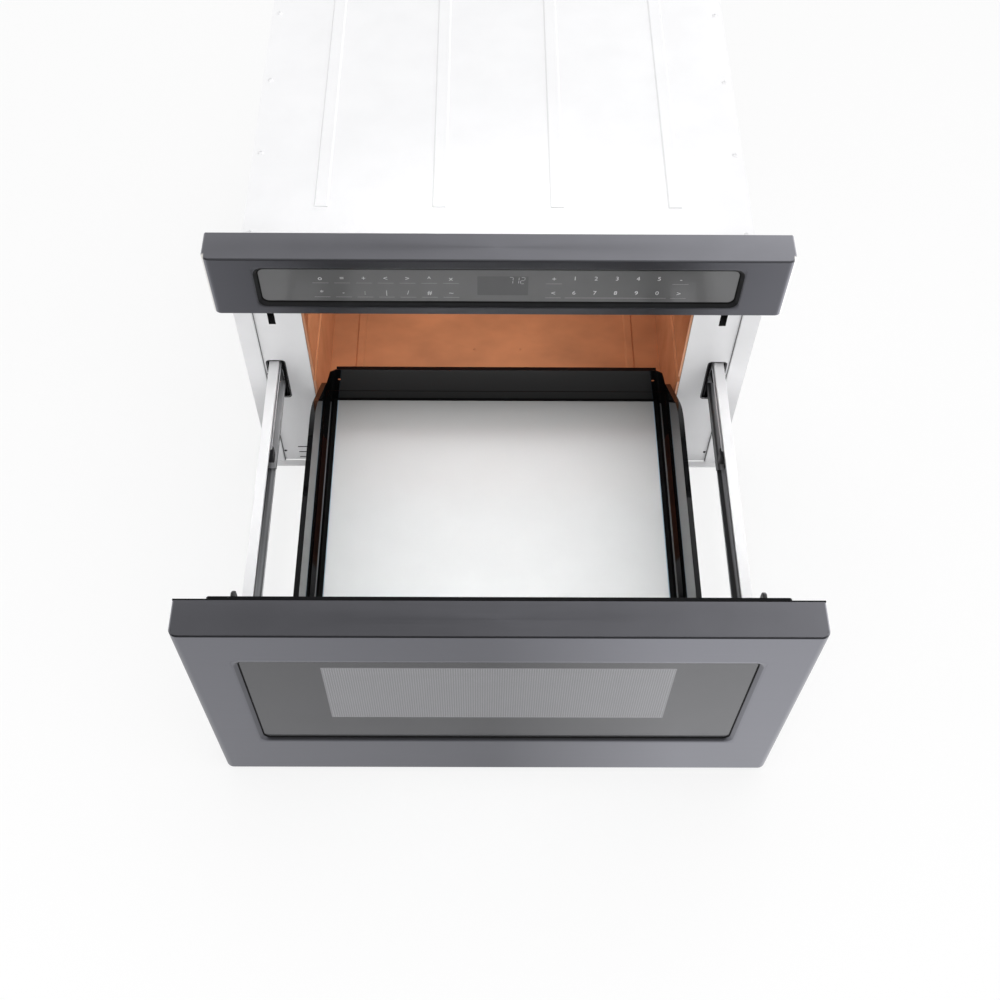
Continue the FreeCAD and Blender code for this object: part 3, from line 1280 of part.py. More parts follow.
def gear_outline(module, teeth, turn):
    """Outline points of an involute spur gear with a tooth centred on the given angle."""
    pressure = math.radians(PRESSURE_DEG)
    r_pitch = module * teeth / 2
    r_base = r_pitch * math.cos(pressure)
    r_tip = r_pitch + ADDENDUM * module
    r_root = r_pitch - DEDENDUM * module
    half = math.pi / (2 * teeth) - BACKLASH / (2 * r_pitch) + involute(pressure)
    flank = []
    for r in (r_pitch, r_tip):
        flank.append((r, half - involute(math.acos(r_base / r))))
    points = []
    for i in range(teeth):
        centre = turn + 2 * math.pi * i / teeth
        rising = [(r_root, flank[0][1] * ROOT_WIDEN)] + flank
        for r, a in rising:
            points.append((r, centre - a))
        for r, a in rising[::-1]:
            points.append((r, centre + a))
    return [(r * math.cos(a), r * math.sin(a)) for r, a in points]


def spur_gear(module, teeth, turn, x, z0, height):
    """A spur gear on a vertical axis."""
    outline = [V(x + px, PINION_Y + py, z0) for px, py in gear_outline(module, teeth, turn)]
    return Part.Face(Part.makePolygon(outline + outline[:1])).extrude(V(0, 0, height))


def drive_gear():
    """Pinion, large gear and their shaft, in one piece."""
    pinion = spur_gear(RACK_MODULE, PINION_TEETH, math.pi, PINION_X, RACK_Z, RACK_H)
    gear = spur_gear(GEAR_MODULE, GEAR_TEETH, 0.0, PINION_X, GEAR_Z, GEAR_H)
    z0 = SHEET + SHAFT_SEAT
    shaft = cylinder(SHAFT_R, V(PINION_X, PINION_Y, z0), V(0, 0, 1), GEAR_Z + GEAR_H + GEAR_LIFT - z0)
    hub = bar(SHAFT_R + BUSH_T, V(PINION_X, PINION_Y, RACK_Z + RACK_H), V(0, 0, 1), GEAR_LIFT)
    return fused(shaft, hub, pinion, gear)


def motor_gear():
    """Small gear on the gearbox's output shaft."""
    turn = math.pi + math.pi / MOTOR_GEAR_TEETH
    gear = spur_gear(GEAR_MODULE, MOTOR_GEAR_TEETH, turn, MOTOR_GEAR_X, GEAR_Z, GEAR_H)
    z0 = SHEET + MOTOR_SHAFT_SEAT
    shaft = cylinder(MOTOR_SHAFT_R, V(MOTOR_GEAR_X, PINION_Y, z0), V(0, 0, 1), GEAR_Z + GEAR_H - z0)
    return fused(gear, shaft)


def gearbox():
    """Gearbox on the base; its foot plate also holds the drive gear's lower bush."""
    y0 = PINION_Y - GEARBOX_D / 2
    y1 = PINION_Y + GEARBOX_D / 2
    x0 = PINION_X + PITCH_R + ADDENDUM * RACK_MODULE + GEARBOX_GAP
    x1 = MOTOR_GEAR_X + GEARBOX_TAIL
    body = box(x0, x1, y0, y1, SHEET, SHEET + GEARBOX_H)
    plate = box(PINION_X - SHAFT_R - BUSH_T, x0, y0, y1, SHEET, SHEET + FOOT_PLATE_T)
    bush = bar(SHAFT_R + BUSH_T, V(PINION_X, PINION_Y, SHEET), V(0, 0, 1), RACK_Z - SHEET - SLIDE_CLEAR)
    body = fused(body, plate, bush)
    bore = cylinder(SHAFT_R + RUNNING, V(PINION_X, PINION_Y, SHEET + SHAFT_SEAT - SLIDE_CLEAR), V(0, 0, 1), RACK_Z)
    out = cylinder(MOTOR_SHAFT_R + RUNNING, V(MOTOR_GEAR_X, PINION_Y, SHEET + MOTOR_SHAFT_SEAT - SLIDE_CLEAR),
                   V(0, 0, 1), GEARBOX_H)
    return body.cut([bore, out]).Solids[0]


def drive_motor():
    """Motor that lies beside the gearbox."""
    x0 = MOTOR_GEAR_X + GEARBOX_TAIL
    z = SHEET + MOTOR_R
    can = bar(MOTOR_R, V(x0, PINION_Y, z), V(1, 0, 0), MOTOR_L)
    cap = bar(MOTOR_CAP_R, V(x0 + MOTOR_L, PINION_Y, z), V(1, 0, 0), MOTOR_CAP_L)
    return fused(can, cap)


def rack():
    """Toothed bar from the door's back to the drive gear."""
    m = RACK_MODULE
    pitch = math.pi * m
    y0 = Y_LINER
    y1 = RACK_END
    back = RACK_X - RACK_BACK
    root = RACK_X - DEDENDUM * m
    tip = RACK_X + ADDENDUM * m
    half_pitch_line = pitch / 4 - BACKLASH / 2
    lean = math.tan(math.radians(PRESSURE_DEG))
    half_root = half_pitch_line + DEDENDUM * m * lean
    half_tip = half_pitch_line - ADDENDUM * m * lean
    first = math.ceil((y0 + RACK_PLAIN - PINION_Y) / pitch - 0.5)
    last = math.floor((y1 - half_root - PINION_Y) / pitch - 0.5)
    points = [(back, y0), (root, y0)]
    for i in range(first, last + 1):
        y = PINION_Y + (i + 0.5) * pitch
        points += [(root, y - half_root), (tip, y - half_tip), (tip, y + half_tip), (root, y + half_root)]
    points += [(root, y1), (back, y1)]
    outline = [V(x, y, RACK_Z) for x, y in points]
    toothed = Part.Face(Part.makePolygon(outline + outline[:1])).extrude(V(0, 0, RACK_H))
    foot = box(back - RACK_FOOT_W, root, y0, y0 + RACK_FOOT_T, RACK_Z - RACK_FOOT_H,
               RACK_Z + RACK_H + RACK_FOOT_H)
    return fused(toothed, foot)


def rack_guide():
    """Channel on the base that the rack runs in, open towards the pinion."""
    x0 = RACK_X - RACK_BACK - SLIDE_CLEAR
    y0 = Y_BODY + GUIDE_WALL
    y1 = RACK_END + TRAVEL + GUIDE_TAIL
    z = RACK_Z - SLIDE_CLEAR
    floor = box(x0 - GUIDE_WALL, RACK_X - GUIDE_OPEN, y0, y1, SHEET, z)
    wall = box(x0 - GUIDE_WALL, x0, y0, y1, z, RACK_Z + RACK_H + RACK_FOOT_H)
    return fused(floor, wall)


# ---- write the sub-parts ----------------------------------------------------
def slide_nodes():
    """Members, cages and balls of both slides, keyed by name."""
    outer_ball, _, inner_ball, _ = ball_levels()
    y_outer = Y_PLATE - MIDDLE_OUT + OUTER_CAGE_IN
    y_inner = Y_BODY + INNER_CAGE_IN
    web_outer = RAIL_T + CAGE_GAP
    web_inner = 3 * RAIL_T + 2 * CAGE_GAP
    outer_cage, outer_balls = ball_cage(outer_ball, web_outer, OUTER_BALL_IN, y_outer, OUTER_CAGE_L)
    inner_cage, inner_balls = ball_cage(inner_ball, web_inner, INNER_BALL_IN, y_inner, INNER_CAGE_L)
    left = {
        "slide_outer": [slide_outer()],
        "slide_middle": [slide_middle()],
        "cage_outer": [outer_cage],
        "balls_outer": outer_balls,
        "cage_inner": [inner_cage] + inner_balls,
        "arm": [arm()],
    }
    nodes = {}
    for name, solids in left.items():
        nodes[name + "_left"] = solids
        nodes[name + "_right"] = [mirrored(s) for s in solids]
    return nodes


def all_nodes():
    """Every sub-part by name."""
    core, coils = transformer()
    nodes = {
        "base_pan": [base_pan()],
        "side_panels": both_sides(side_panel()),
        "top_cover": [top_cover()],
        "back_panel": [back_panel()],
        "cord_gland": [cord_gland()],
        "mounting_flange": [mounting_flange()],
        "front_plate": [front_plate()],
        "oven_cavity": [oven_cavity()],
        "oven_lamp": oven_lamp(),
        "stirrer_cover": [stirrer_cover()],
        "waveguide": [waveguide()],
        "magnetron": [magnetron()],
        "stirrer": [stirrer()],
        "stirrer_motor": [stirrer_motor()],
        "transformer_core": [core],
        "transformer_windings": coils,
        "capacitor": [capacitor()],
        "fan_shroud": [fan_shroud()],
        "fan_motor": [fan_motor()],
        "fan_rotor": [fan_rotor()],
        "power_board": [power_board()],
        "control_bezel": [front_shell("bezel", Z_BEZEL, Z_TOP, BEZEL_D, Y_FACE)],
        "bezel_bevel": [bevel_frame("bezel", Y_FACE)],
        "control_glass": [panel_glass("bezel", Y_FACE, GLASS_T)],
        "control_housing": [control_housing()],
        "drawer_skin": [front_shell("drawer", Z_DRAWER, Z_DRAWER_TOP, SKIN_D, Y_OPEN)],
        "drawer_bevel": [bevel_frame("drawer", Y_OPEN)],
        "drawer_glass": [panel_glass("drawer", Y_OPEN, GLASS_T)],
        "inner_door": [inner_door()],
        "window_screen": [window_screen()],
        "door_liner": [door_liner()],
        "inner_window": [inner_window()],
        "tray_pan": [tray_pan()],
        "tray_glass": [tray_glass()],
        "glass_gasket": [glass_gasket()],
        "tray_sides": both_sides(tray_side()),
        "tray_back": [tray_back()],
        "slide_inner": both_sides(slide_inner()),
        "slide_brackets": both_sides(slide_bracket()),
        "latch_hooks": both_sides(latch_hook()),
        "latch_switches": both_sides(latch_switch_box()),
        "drive_gear": [drive_gear()],
        "motor_gear": [motor_gear()],
        "gearbox": [gearbox()],
        "drive_motor": [drive_motor()],
        "rack": [rack()],
        "rack_guide": [rack_guide()],
    }
    nodes.update(slide_nodes())
    return nodes


def main():
    """Build and write every sub-part."""
    os.makedirs("parts", exist_ok=True)
    for name, solids in all_nodes().items():
        export(name, solids)


main()
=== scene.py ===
"""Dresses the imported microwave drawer: finishes, small fittings, light and camera.

Metres, Z up, the front towards -Y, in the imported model's own frame. At rest the drawer
is run out. Every piece rides on the body that carries it, so the drawer, its slides and
the gears can move.
"""

import json
import logging
import math
from dataclasses import dataclass, field, fields, replace
from enum import Enum
from typing import Any, Sequence

import bmesh
import bpy
from mathutils import Matrix, Vector

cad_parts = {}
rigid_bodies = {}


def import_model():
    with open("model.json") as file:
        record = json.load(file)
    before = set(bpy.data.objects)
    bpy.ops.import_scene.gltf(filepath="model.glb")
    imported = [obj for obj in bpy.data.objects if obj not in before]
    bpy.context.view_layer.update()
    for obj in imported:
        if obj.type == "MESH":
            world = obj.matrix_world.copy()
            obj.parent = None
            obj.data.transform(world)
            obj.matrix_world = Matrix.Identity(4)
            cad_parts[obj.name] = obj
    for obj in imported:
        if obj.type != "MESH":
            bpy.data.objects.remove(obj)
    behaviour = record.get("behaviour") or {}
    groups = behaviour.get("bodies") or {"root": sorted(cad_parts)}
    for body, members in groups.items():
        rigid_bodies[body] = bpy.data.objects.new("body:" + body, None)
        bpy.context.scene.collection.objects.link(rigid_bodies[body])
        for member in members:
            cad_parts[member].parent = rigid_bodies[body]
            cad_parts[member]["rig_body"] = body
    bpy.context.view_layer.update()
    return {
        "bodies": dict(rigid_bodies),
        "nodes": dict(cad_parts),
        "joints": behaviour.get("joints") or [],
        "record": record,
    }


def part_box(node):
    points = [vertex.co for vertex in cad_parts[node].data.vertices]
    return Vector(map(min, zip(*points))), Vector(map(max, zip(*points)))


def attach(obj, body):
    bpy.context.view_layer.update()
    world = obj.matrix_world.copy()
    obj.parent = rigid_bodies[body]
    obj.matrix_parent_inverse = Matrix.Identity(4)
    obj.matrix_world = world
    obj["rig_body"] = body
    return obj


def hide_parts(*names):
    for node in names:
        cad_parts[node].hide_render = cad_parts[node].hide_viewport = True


LOG = logging.getLogger("microwave_drawer")
MM = 0.001
HAIR = 0.00004  # how far printed marks stand off what they are printed on
SKIN_EDGE = 0.35 * MM  # rounding of the steel skins' edges
FACE_DEPTH = 0.4 * MM  # how deep the painted reflection gradient of the front faces reaches

Colour = tuple[float, float, float]
Point = tuple[float, float, float]
Span = tuple[float, float]
Socket = bpy.types.NodeSocket
Thing = bpy.types.Object


def tinted(colour: Colour, share: float) -> Colour:
    """A share of a colour, held below one."""
    return tuple(min(1.0, c * share) for c in colour)


def spread(first: float, last: float, count: int) -> list[float]:
    """Equally spaced values from the first to the last."""
    return [first + (last - first) * i / (count - 1) for i in range(count)]


def lattice(xs: Sequence[float], ys: Sequence[float], zs: Sequence[float]) -> list[Point]:
    """Every point that can be made of the listed coordinates."""
    return [(x, y, z) for x in xs for y in ys for z in zs]


# ---- node graphs ---------------------------------------------------------------
class Graph:
    """Adds and wires the nodes of one tree."""

    def __init__(self, tree: bpy.types.NodeTree) -> None:
        """Keep the tree that nodes are added to."""
        self.tree = tree

    def add(self, kind: str, inputs: dict[Any, Any] | None = None, **settings: Any) -> bpy.types.Node:
        """Add a node.

        Args:
            kind: Blender's name for the node type.
            inputs: values or output sockets, by the input's name or index.
            settings: the node's own properties.

        Returns:
            The new node.
        """
        node = self.tree.nodes.new(kind)
        for name, value in settings.items():
            setattr(node, name, value)
        for key, value in (inputs or {}).items():
            self.feed(node.inputs[key], value)
        return node

    def feed(self, socket: Socket, value: Any) -> None:
        """Link an output socket into an input, or set the input's value.

        Args:
            socket: the input.
            value: an output socket or a plain value; a colour gets an alpha of one.
        """
        if isinstance(value, Socket):
            self.tree.links.new(value, socket)
        elif isinstance(value, tuple) and socket.type == "RGBA":
            socket.default_value = (*value, 1.0)
        else:
            socket.default_value = value

    def maths(self, operation: str, first: Any, second: Any = 0.0) -> Socket:
        """Output of a maths node on two values."""
        return self.add("ShaderNodeMath", {0: first, 1: second}, operation=operation).outputs[0]

    def plus(self, first: Any, second: Any) -> Socket:
        """Sum of two values."""
        return self.maths("ADD", first, second)

    def times(self, first: Any, second: Any) -> Socket:
        """Product of two values."""
        return self.maths("MULTIPLY", first, second)

    def most(self, first: Any, second: Any) -> Socket:
        """The larger of two values."""
        return self.maths("MAXIMUM", first, second)

    def either(self, switch: Socket, first: Any, second: Any) -> Socket:
        """The first value where the switch is one and the second where it is zero."""
        return self.plus(self.times(first, switch), self.times(second, self.maths("SUBTRACT", 1.0, switch)))

    def remap(self, value: Any, low: float, high: float, out_low: float, out_high: float) -> Socket:
        """A value spread from one range to another, held inside it."""
        return self.add("ShaderNodeMapRange", {"Value": value, "From Min": low, "From Max": high,
                                               "To Min": out_low, "To Max": out_high}).outputs[0]


class ShaderGraph(Graph):
    """The node tree of one material."""

    def __init__(self, name: str) -> None:
        """Start a material with its Principled shader."""
        self.material = bpy.data.materials.new(name)
        self.material.use_nodes = True
        super().__init__(self.material.node_tree)
        self.shader = self.tree.nodes["Principled BSDF"]
        self.place = self.add("ShaderNodeTexCoord").outputs["Object"]

    def stretched(self, scale: Point) -> Socket:
        """Object coordinates times a scale along each axis."""
        return self.add("ShaderNodeMapping", {"Vector": self.place, "Scale": scale}).outputs[0]

    def noise(self, scale: Point, detail: float = 3.0) -> Socket:
        """Soft random pattern, in cells per metre along each axis."""
        inputs = {"Vector": self.stretched(scale), "Scale": 1.0, "Detail": detail}
        return self.add("ShaderNodeTexNoise", inputs, noise_dimensions="3D").outputs[0]

    def blend(self, factor: Any, first: Any, second: Any) -> Socket:
        """Colour between two colours.

        Args:
            factor: zero for the first colour and one for the second.
            first: the first colour.
            second: the second colour.

        Returns:
            The colour between them.
        """
        node = self.add("ShaderNodeMix", data_type="RGBA")
        for name, value in (("Factor", factor), ("A", first), ("B", second)):
            self.feed(node.inputs[name], value)
        return node.outputs["Result"]

    def axes(self) -> tuple[Socket, Socket, Socket]:
        """The three object coordinates apart."""
        across, along, up = self.add("ShaderNodeSeparateXYZ", {0: self.place}).outputs
        return across, along, up

    def distance(self, axis: int) -> Socket:
        """Distance from the part's middle plane along an axis."""
        return self.maths("ABSOLUTE", self.axes()[axis])

    def within(self, value: Socket, low: float, high: float, soft: float) -> Socket:
        """One inside a range of a coordinate and zero outside, with a soft border."""
        return self.times(self.remap(value, low - soft, low + soft, 0.0, 1.0),
                          self.remap(value, high - soft, high + soft, 1.0, 0.0))


class GeometryGraph(Graph):
    """A Geometry Nodes tree with named sizes, run once on a carrier mesh."""

    def __init__(self, name: str) -> None:
        """Start a tree with one geometry input and output."""
        super().__init__(bpy.data.node_groups.new(name, "GeometryNodeTree"))
        for side in ("INPUT", "OUTPUT"):
            self.tree.interface.new_socket(name="Geometry", in_out=side, socket_type="NodeSocketGeometry")
        self.inward = self.tree.nodes.new("NodeGroupInput")
        self.outward = self.tree.nodes.new("NodeGroupOutput")
        self.sizes: dict[str, float | int] = {}

    @property
    def carrier(self) -> Socket:
        """The geometry that the tree starts from."""
        return self.inward.outputs[0]

    def size(self, name: str, value: float, kind: str = "NodeSocketFloat") -> Socket:
        """Add a named input.

        Args:
            name: what the size is.
            value: its value for this run.
            kind: type of the socket.

        Returns:
            The socket to wire from.
        """
        item = self.tree.interface.new_socket(name=name, in_out="INPUT", socket_type=kind)
        self.sizes[item.identifier] = value
        return self.inward.outputs[name]

    def moved(self, shape: Socket, offset: Any = (0, 0, 0), turn: Any = (0, 0, 0)) -> Socket:
        """A shape put elsewhere."""
        return self.add("GeometryNodeTransform",
                        {"Geometry": shape, "Translation": offset, "Rotation": turn}).outputs[0]

    def vector(self, x: Any, y: Any, z: Any) -> Socket:
        """A vector of three values."""
        return self.add("ShaderNodeCombineXYZ", {0: x, 1: y, 2: z}).outputs[0]

    def repeated(self, shape: Socket, points: Socket, turn: Any = (0, 0, 0)) -> Socket:
        """The shape on each of the points, turned."""
        return self.add("GeometryNodeInstanceOnPoints",
                        {"Points": points, "Instance": shape, "Rotation": turn}).outputs[0]

    def facing(self) -> Socket:
        """The turn that lays Z along the facing of each of the carrier's points."""
        facing = self.add("GeometryNodeInputNamedAttribute", {"Name": "facing"}, data_type="FLOAT_VECTOR")
        turn = self.add("FunctionNodeAlignRotationToVector", {"Vector": facing.outputs[0]}, axis="Z")
        return turn.outputs[0]

    def run(self, shape: Socket, material: bpy.types.Material, points: "PointSet", name: str,
            smooth: bool = False) -> Thing:
        """Close the tree, run it and keep the result as a plain mesh.

        Args:
            shape: what the tree makes.
            material: finish of the result.
            points: where it is made.
            name: name of the piece.
            smooth: whether its faces are shaded smooth.

        Returns:
            An object with a plain mesh, at the origin.
        """
        real = self.add("GeometryNodeRealizeInstances", {0: shape}).outputs[0]
        soft = self.add("GeometryNodeSetShadeSmooth", {"Geometry": real, "Shade Smooth": smooth}).outputs[0]
        done = self.add("GeometryNodeSetMaterial", {"Geometry": soft, "Material": material}).outputs[0]
        self.tree.links.new(done, self.outward.inputs[0])
        carrier = points.carrier(name)
        modifier = carrier.modifiers.new("shape", "NODES")
        modifier.node_group = self.tree
        for identifier, value in self.sizes.items():
            modifier[identifier] = value
        mesh = evaluated(carrier)
        mesh.name = name
        return new_piece(name, mesh, material)


@dataclass
class PointSet:
    """Places for a repeated shape, each with the way that it faces.

    Attributes:
        places: the points.
        facing: a direction for each of them.
    """

    places: list[Point] = field(default_factory=list)
    facing: list[Point] = field(default_factory=list)

    def put(self, places: Sequence[Point], facing: Point) -> "PointSet":
        """Add places that share one facing.

        Args:
            places: the points.
            facing: the direction that all of them face.

        Returns:
            The set itself.
        """
        self.places += [tuple(p) for p in places]
        self.facing += [facing] * len(places)
        return self

    def carrier(self, name: str) -> Thing:
        """Make the loose points that a tree runs on.

        Args:
            name: name of the piece that they are for.

        Returns:
            A mesh object that carries the facing.
        """
        mesh = bpy.data.meshes.new(name + "_points")
        mesh.from_pydata(self.places, [], [])
        layer = mesh.attributes.new("facing", "FLOAT_VECTOR", "POINT")
        layer.data.foreach_set("vector", [v for f in self.facing for v in f])
        return linked(name + "_points", mesh)


# ---- finishes ------------------------------------------------------------------
MADE: dict[str, bpy.types.Material] = {}  # materials by the name of their finish


@dataclass(frozen=True)
class Finish:
    """A plain surface finish, with slight drift of its colour and gloss and a fine relief.

    Attributes:
        name: name of the material.
        colour: base colour.
        rough: mean roughness.
        metallic: one for bare metal.
        coat: strength of a clear layer.
        coat_rough: roughness of that layer.
        specular: strength of the plain reflection.
        drift: how far the colour goes darker and lighter.
        rough_drift: how far the roughness goes each way.
        mottle: patches per metre along each axis.
        grain: relief cells per metre along each axis.
        depth: depth of the relief in metres.
    """

    name: str
    colour: Colour
    rough: float
    metallic: float = 0.0
    coat: float = 0.0
    coat_rough: float = 0.08
    specular: float = 0.5
    drift: float = 0.06
    rough_drift: float = 0.05
    mottle: Point = (25.0, 25.0, 25.0)
    grain: Point = (900.0, 900.0, 900.0)
    depth: float = 0.00001

    def material(self) -> bpy.types.Material:
        """The node material, built at its first use."""
        if self.name not in MADE:
            MADE[self.name] = self.built()
        return MADE[self.name]

    def built(self) -> bpy.types.Material:
        """Build the node material."""
        graph = ShaderGraph(self.name)
        patches = graph.noise(self.mottle)
        relief = graph.add("ShaderNodeBump", {"Height": self.relief(graph), "Distance": self.depth,
                                              "Strength": 1.0}).outputs[0]
        for name, value in (("Base Color", self.paint(graph, patches)),
                            ("Roughness", self.gloss(graph, patches)), ("Metallic", self.metallic),
                            ("Specular IOR Level", self.specular), ("Coat Weight", self.coat),
                            ("Coat Roughness", self.coat_rough), ("Normal", relief)):
            graph.feed(graph.shader.inputs[name], value)
        self.extras(graph)
        return graph.material

    def paint(self, graph: ShaderGraph, patches: Socket) -> Socket:
        """Colour of the surface from its patches."""
        return graph.blend(graph.remap(patches, 0.3, 0.7, 0.0, 1.0), tinted(self.colour, 1 - self.drift),
                           tinted(self.colour, 1 + self.drift))

    def gloss(self, graph: ShaderGraph, patches: Socket) -> Socket:
        """Roughness of the surface from its patches."""
        return graph.remap(patches, 0.3, 0.7, self.rough + self.rough_drift, self.rough - self.rough_drift)

    def relief(self, graph: ShaderGraph) -> Socket:
        """Height of the fine relief."""
        return graph.noise(self.grain, 2.0)

    def extras(self, graph: ShaderGraph) -> None:
        """Room for what a special finish adds."""


def remade(kind: type[Finish], base: Finish, **changes: Any) -> Finish:
    """A finish of another kind with all that a base has, apart from the changes."""
    return kind(**{item.name: getattr(base, item.name) for item in fields(base)} | changes)


@dataclass(frozen=True)
class ZonedGlass(Finish):
    """Dark glass with one zone of another shade behind it.

    Attributes:
        zone_colour: shade inside the zone.
        zone_x: limits of the zone across.
        zone_z: limits of the zone upwards.
        border: softness of the zone's border.
    """

    coat: float = 0.2
    coat_rough: float = 0.03
    drift: float = 0.03
    depth: float = 0.000001
    zone_colour: Colour = (0.1, 0.1, 0.1)
    zone_x: Span = (0.0, 0.0)
    zone_z: Span = (0.0, 0.0)
    border: float = 0.0003

    def paint(self, graph: ShaderGraph, patches: Socket) -> Socket:
        """Glass colour with the zone let in."""
        across, _, up = graph.axes()
        zone = graph.times(graph.within(across, *self.zone_x, self.border),
                           graph.within(up, *self.zone_z, self.border))
        return graph.blend(zone, super().paint(graph, patches), self.zone_colour)


@dataclass(frozen=True)
class EdgedGlass(Finish):
    """Pale glass whose ground edges look bluish, painted darker towards its rear edge as shade.

    Attributes:
        edge_colour: colour near the edges.
        half: half of the pane's width.
        front: front edge along Y.
        edge: width that the colour reaches in.
        rear: rear edge along Y.
        rear_tone: share of the colour at the rear edge, a painted shade.
    """

    edge_colour: Colour = (0.5, 0.6, 0.7)
    half: float = 0.2
    front: float = -0.66
    edge: float = 0.0016
    rear: float = -0.25
    rear_tone: float = 1.0

    def paint(self, graph: ShaderGraph, patches: Socket) -> Socket:
        """Glass colour with its edges let in and painted shade towards the rear."""
        along = graph.axes()[1]
        solid = self.edge * 0.6
        side = graph.remap(graph.distance(0), self.half - self.edge, self.half - solid, 0.0, 1.0)
        front = graph.remap(along, self.front + self.edge, self.front + solid, 0.0, 1.0)
        # painted shade: darker from the front edge to the rear edge
        toned = graph.blend(graph.remap(along, self.front, self.rear, 0.0, 1.0),
                            super().paint(graph, patches), tinted(self.colour, self.rear_tone))
        return graph.blend(graph.most(side, front), toned, self.edge_colour)


@dataclass(frozen=True)
class Brushed(Finish):
    """Brushed metal whose lines run along X.

    Attributes:
        lines: brush lines per metre across the lines.
        streak: how much the lines change the roughness.
        anisotropy: how far the lines stretch the highlights.
    """

    lines: float = 2600.0
    streak: float = 0.06
    anisotropy: float = 0.35

    def relief(self, graph: ShaderGraph) -> Socket:
        """Long fine lines along X."""
        return graph.noise((self.lines / 90.0, self.lines, self.lines), 3.0)

    def gloss(self, graph: ShaderGraph, patches: Socket) -> Socket:
        """Roughness that follows the lines."""
        lines = graph.noise((self.lines / 160.0, self.lines * 0.6, self.lines * 0.6), 2.0)
        return graph.remap(lines, 0.25, 0.75, self.rough - self.streak, self.rough + self.streak)

    def extras(self, graph: ShaderGraph) -> None:
        """Stretch the highlights across the lines."""
        graph.shader.inputs["Anisotropic"].default_value = self.anisotropy


@dataclass(frozen=True)
class Drafted(Finish):
    """Glossy enamel on drawn walls that open slightly upwards.

    Attributes:
        draft: how far the walls lean out, as a slope.
    """

    draft: float = 0.06

    def extras(self, graph: ShaderGraph) -> None:
        """Lean the surface's facing upwards by the draft."""
        facing = graph.shader.inputs["Normal"].links[0].from_socket
        leaning = graph.add("ShaderNodeVectorMath", {0: facing, 1: (0.0, 0.0, self.draft)}, operation="ADD")
        even = graph.add("ShaderNodeVectorMath", {0: leaning.outputs[0]}, operation="NORMALIZE")
        graph.feed(graph.shader.inputs["Normal"], even.outputs[0])


@dataclass(frozen=True)
class Drawn(Finish):
    """Cold drawn steel with darker and lighter stripes along Y.

    Attributes:
        stripes: stripes per metre across.
        dark: share of the colour in the dark stripes.
    """

    stripes: float = 150.0
    dark: float = 0.12

    def paint(self, graph: ShaderGraph, patches: Socket) -> Socket:
        """Colour with long stripes."""
        lines = graph.remap(graph.noise((self.stripes, 1.5, self.stripes), 1.0), 0.42, 0.58, 0.0, 1.0)
        return graph.blend(lines, tinted(self.colour, self.dark), super().paint(graph, patches))


@dataclass(frozen=True)
class InnerShadedSheet(Finish):
    """Painted sheet whose side turned to the inside is coloured dark, a painted shade.

    Attributes:
        axis: 0, 1 or 2 for the axis that the sheet is thin along.
        inner_from: place of the sheet's middle along that axis, from the part's centre for axis 0.
        inner_sign: one where the inside lies above that place, minus one below it.
        inner_colour: colour of the inner side, a painted shade.
        border: half of the border between the two.
    """

    axis: int = 2
    inner_from: float = 0.0
    inner_sign: int = 1
    inner_colour: Colour = (0.035, 0.035, 0.037)
    border: float = 0.05 * MM

    def paint(self, graph: ShaderGraph, patches: Socket) -> Socket:
        """Paint outside, painted shade inside."""
        place = graph.axes()[self.axis] if self.axis else graph.distance(0)
        # painted shade: the inner side dark
        inside = graph.remap(place, self.inner_from - self.border, self.inner_from + self.border,
                             float(self.inner_sign < 0), float(self.inner_sign > 0))
        return graph.blend(inside, super().paint(graph, patches), self.inner_colour)


@dataclass(frozen=True)
class ShadedSteel(Brushed):
    """Brushed steel with painted light: a painted reflection runs the front face from a darker to a lighter
    tone across, a painted tone lies where the face turns into the upright sides, and a painted highlight line
    lies over the recess.

    Attributes:
        face_y: the front face ends behind this plane.
        tones: share of the colour at the left end, the middle and the right end of the front face, a painted
            reflection.
        half: half of the width.
        fold: colour where the face turns into the upright sides, painted light that stands in for how light
            falls on that turn.
        fold_in: where that colour starts and is full, from the sides.
        fold_back: where it starts to end and has ended, behind the face.
        lip_x: half of the length of the painted highlight line over the recess.
        lip_z: lower and upper border of that line.
        lip_tone: its share of the colour, a painted highlight.
    """

    face_y: float = 0.0
    tones: tuple[float, float, float] = (1.0, 1.0, 1.0)
    half: float = 0.3
    fold: Colour = (0.19, 0.19, 0.20)
    fold_in: Span = (3.6 * MM, 2.8 * MM)
    fold_back: Span = (6.0 * MM, 9.0 * MM)
    lip_x: float = 0.0
    lip_z: Span = (-1.0, -0.9)
    lip_tone: float = 1.35

    def paint(self, graph: ShaderGraph, patches: Socket) -> Socket:
        """Painted light: the painted fold tone on the turns, a painted reflection across the face and the
        painted highlight line over the recess.
        """
        across, along, up = graph.axes()
        left, middle, right = (tinted(self.colour, tone) for tone in self.tones)
        # painted reflection: the front face graded from left to right
        reflection_graded = graph.blend(graph.remap(across, -self.half, 0.0, 0.0, 1.0), left, middle)
        reflection_graded = graph.blend(graph.remap(across, 0.0, self.half, 0.0, 1.0), reflection_graded, right)
        face = graph.remap(along, self.face_y, self.face_y + 0.4 * MM, 1.0, 0.0)
        # painted highlight: a light line over the recess
        highlight_line = graph.times(graph.within(across, -self.lip_x, self.lip_x, 0.6 * MM),
                          graph.within(up, *self.lip_z, 0.3 * MM))
        toned = graph.blend(highlight_line, graph.blend(face, super().paint(graph, patches), reflection_graded),
                            tinted(self.colour, self.lip_tone))
        # painted light where the face turns into the upright sides
        turn = graph.remap(graph.distance(0), *(self.half - reach for reach in self.fold_in), 0.0, 1.0)
        near = graph.remap(along, *(self.face_y + reach for reach in self.fold_back), 1.0, 0.0)
        return graph.blend(graph.times(turn, near), toned, self.fold)


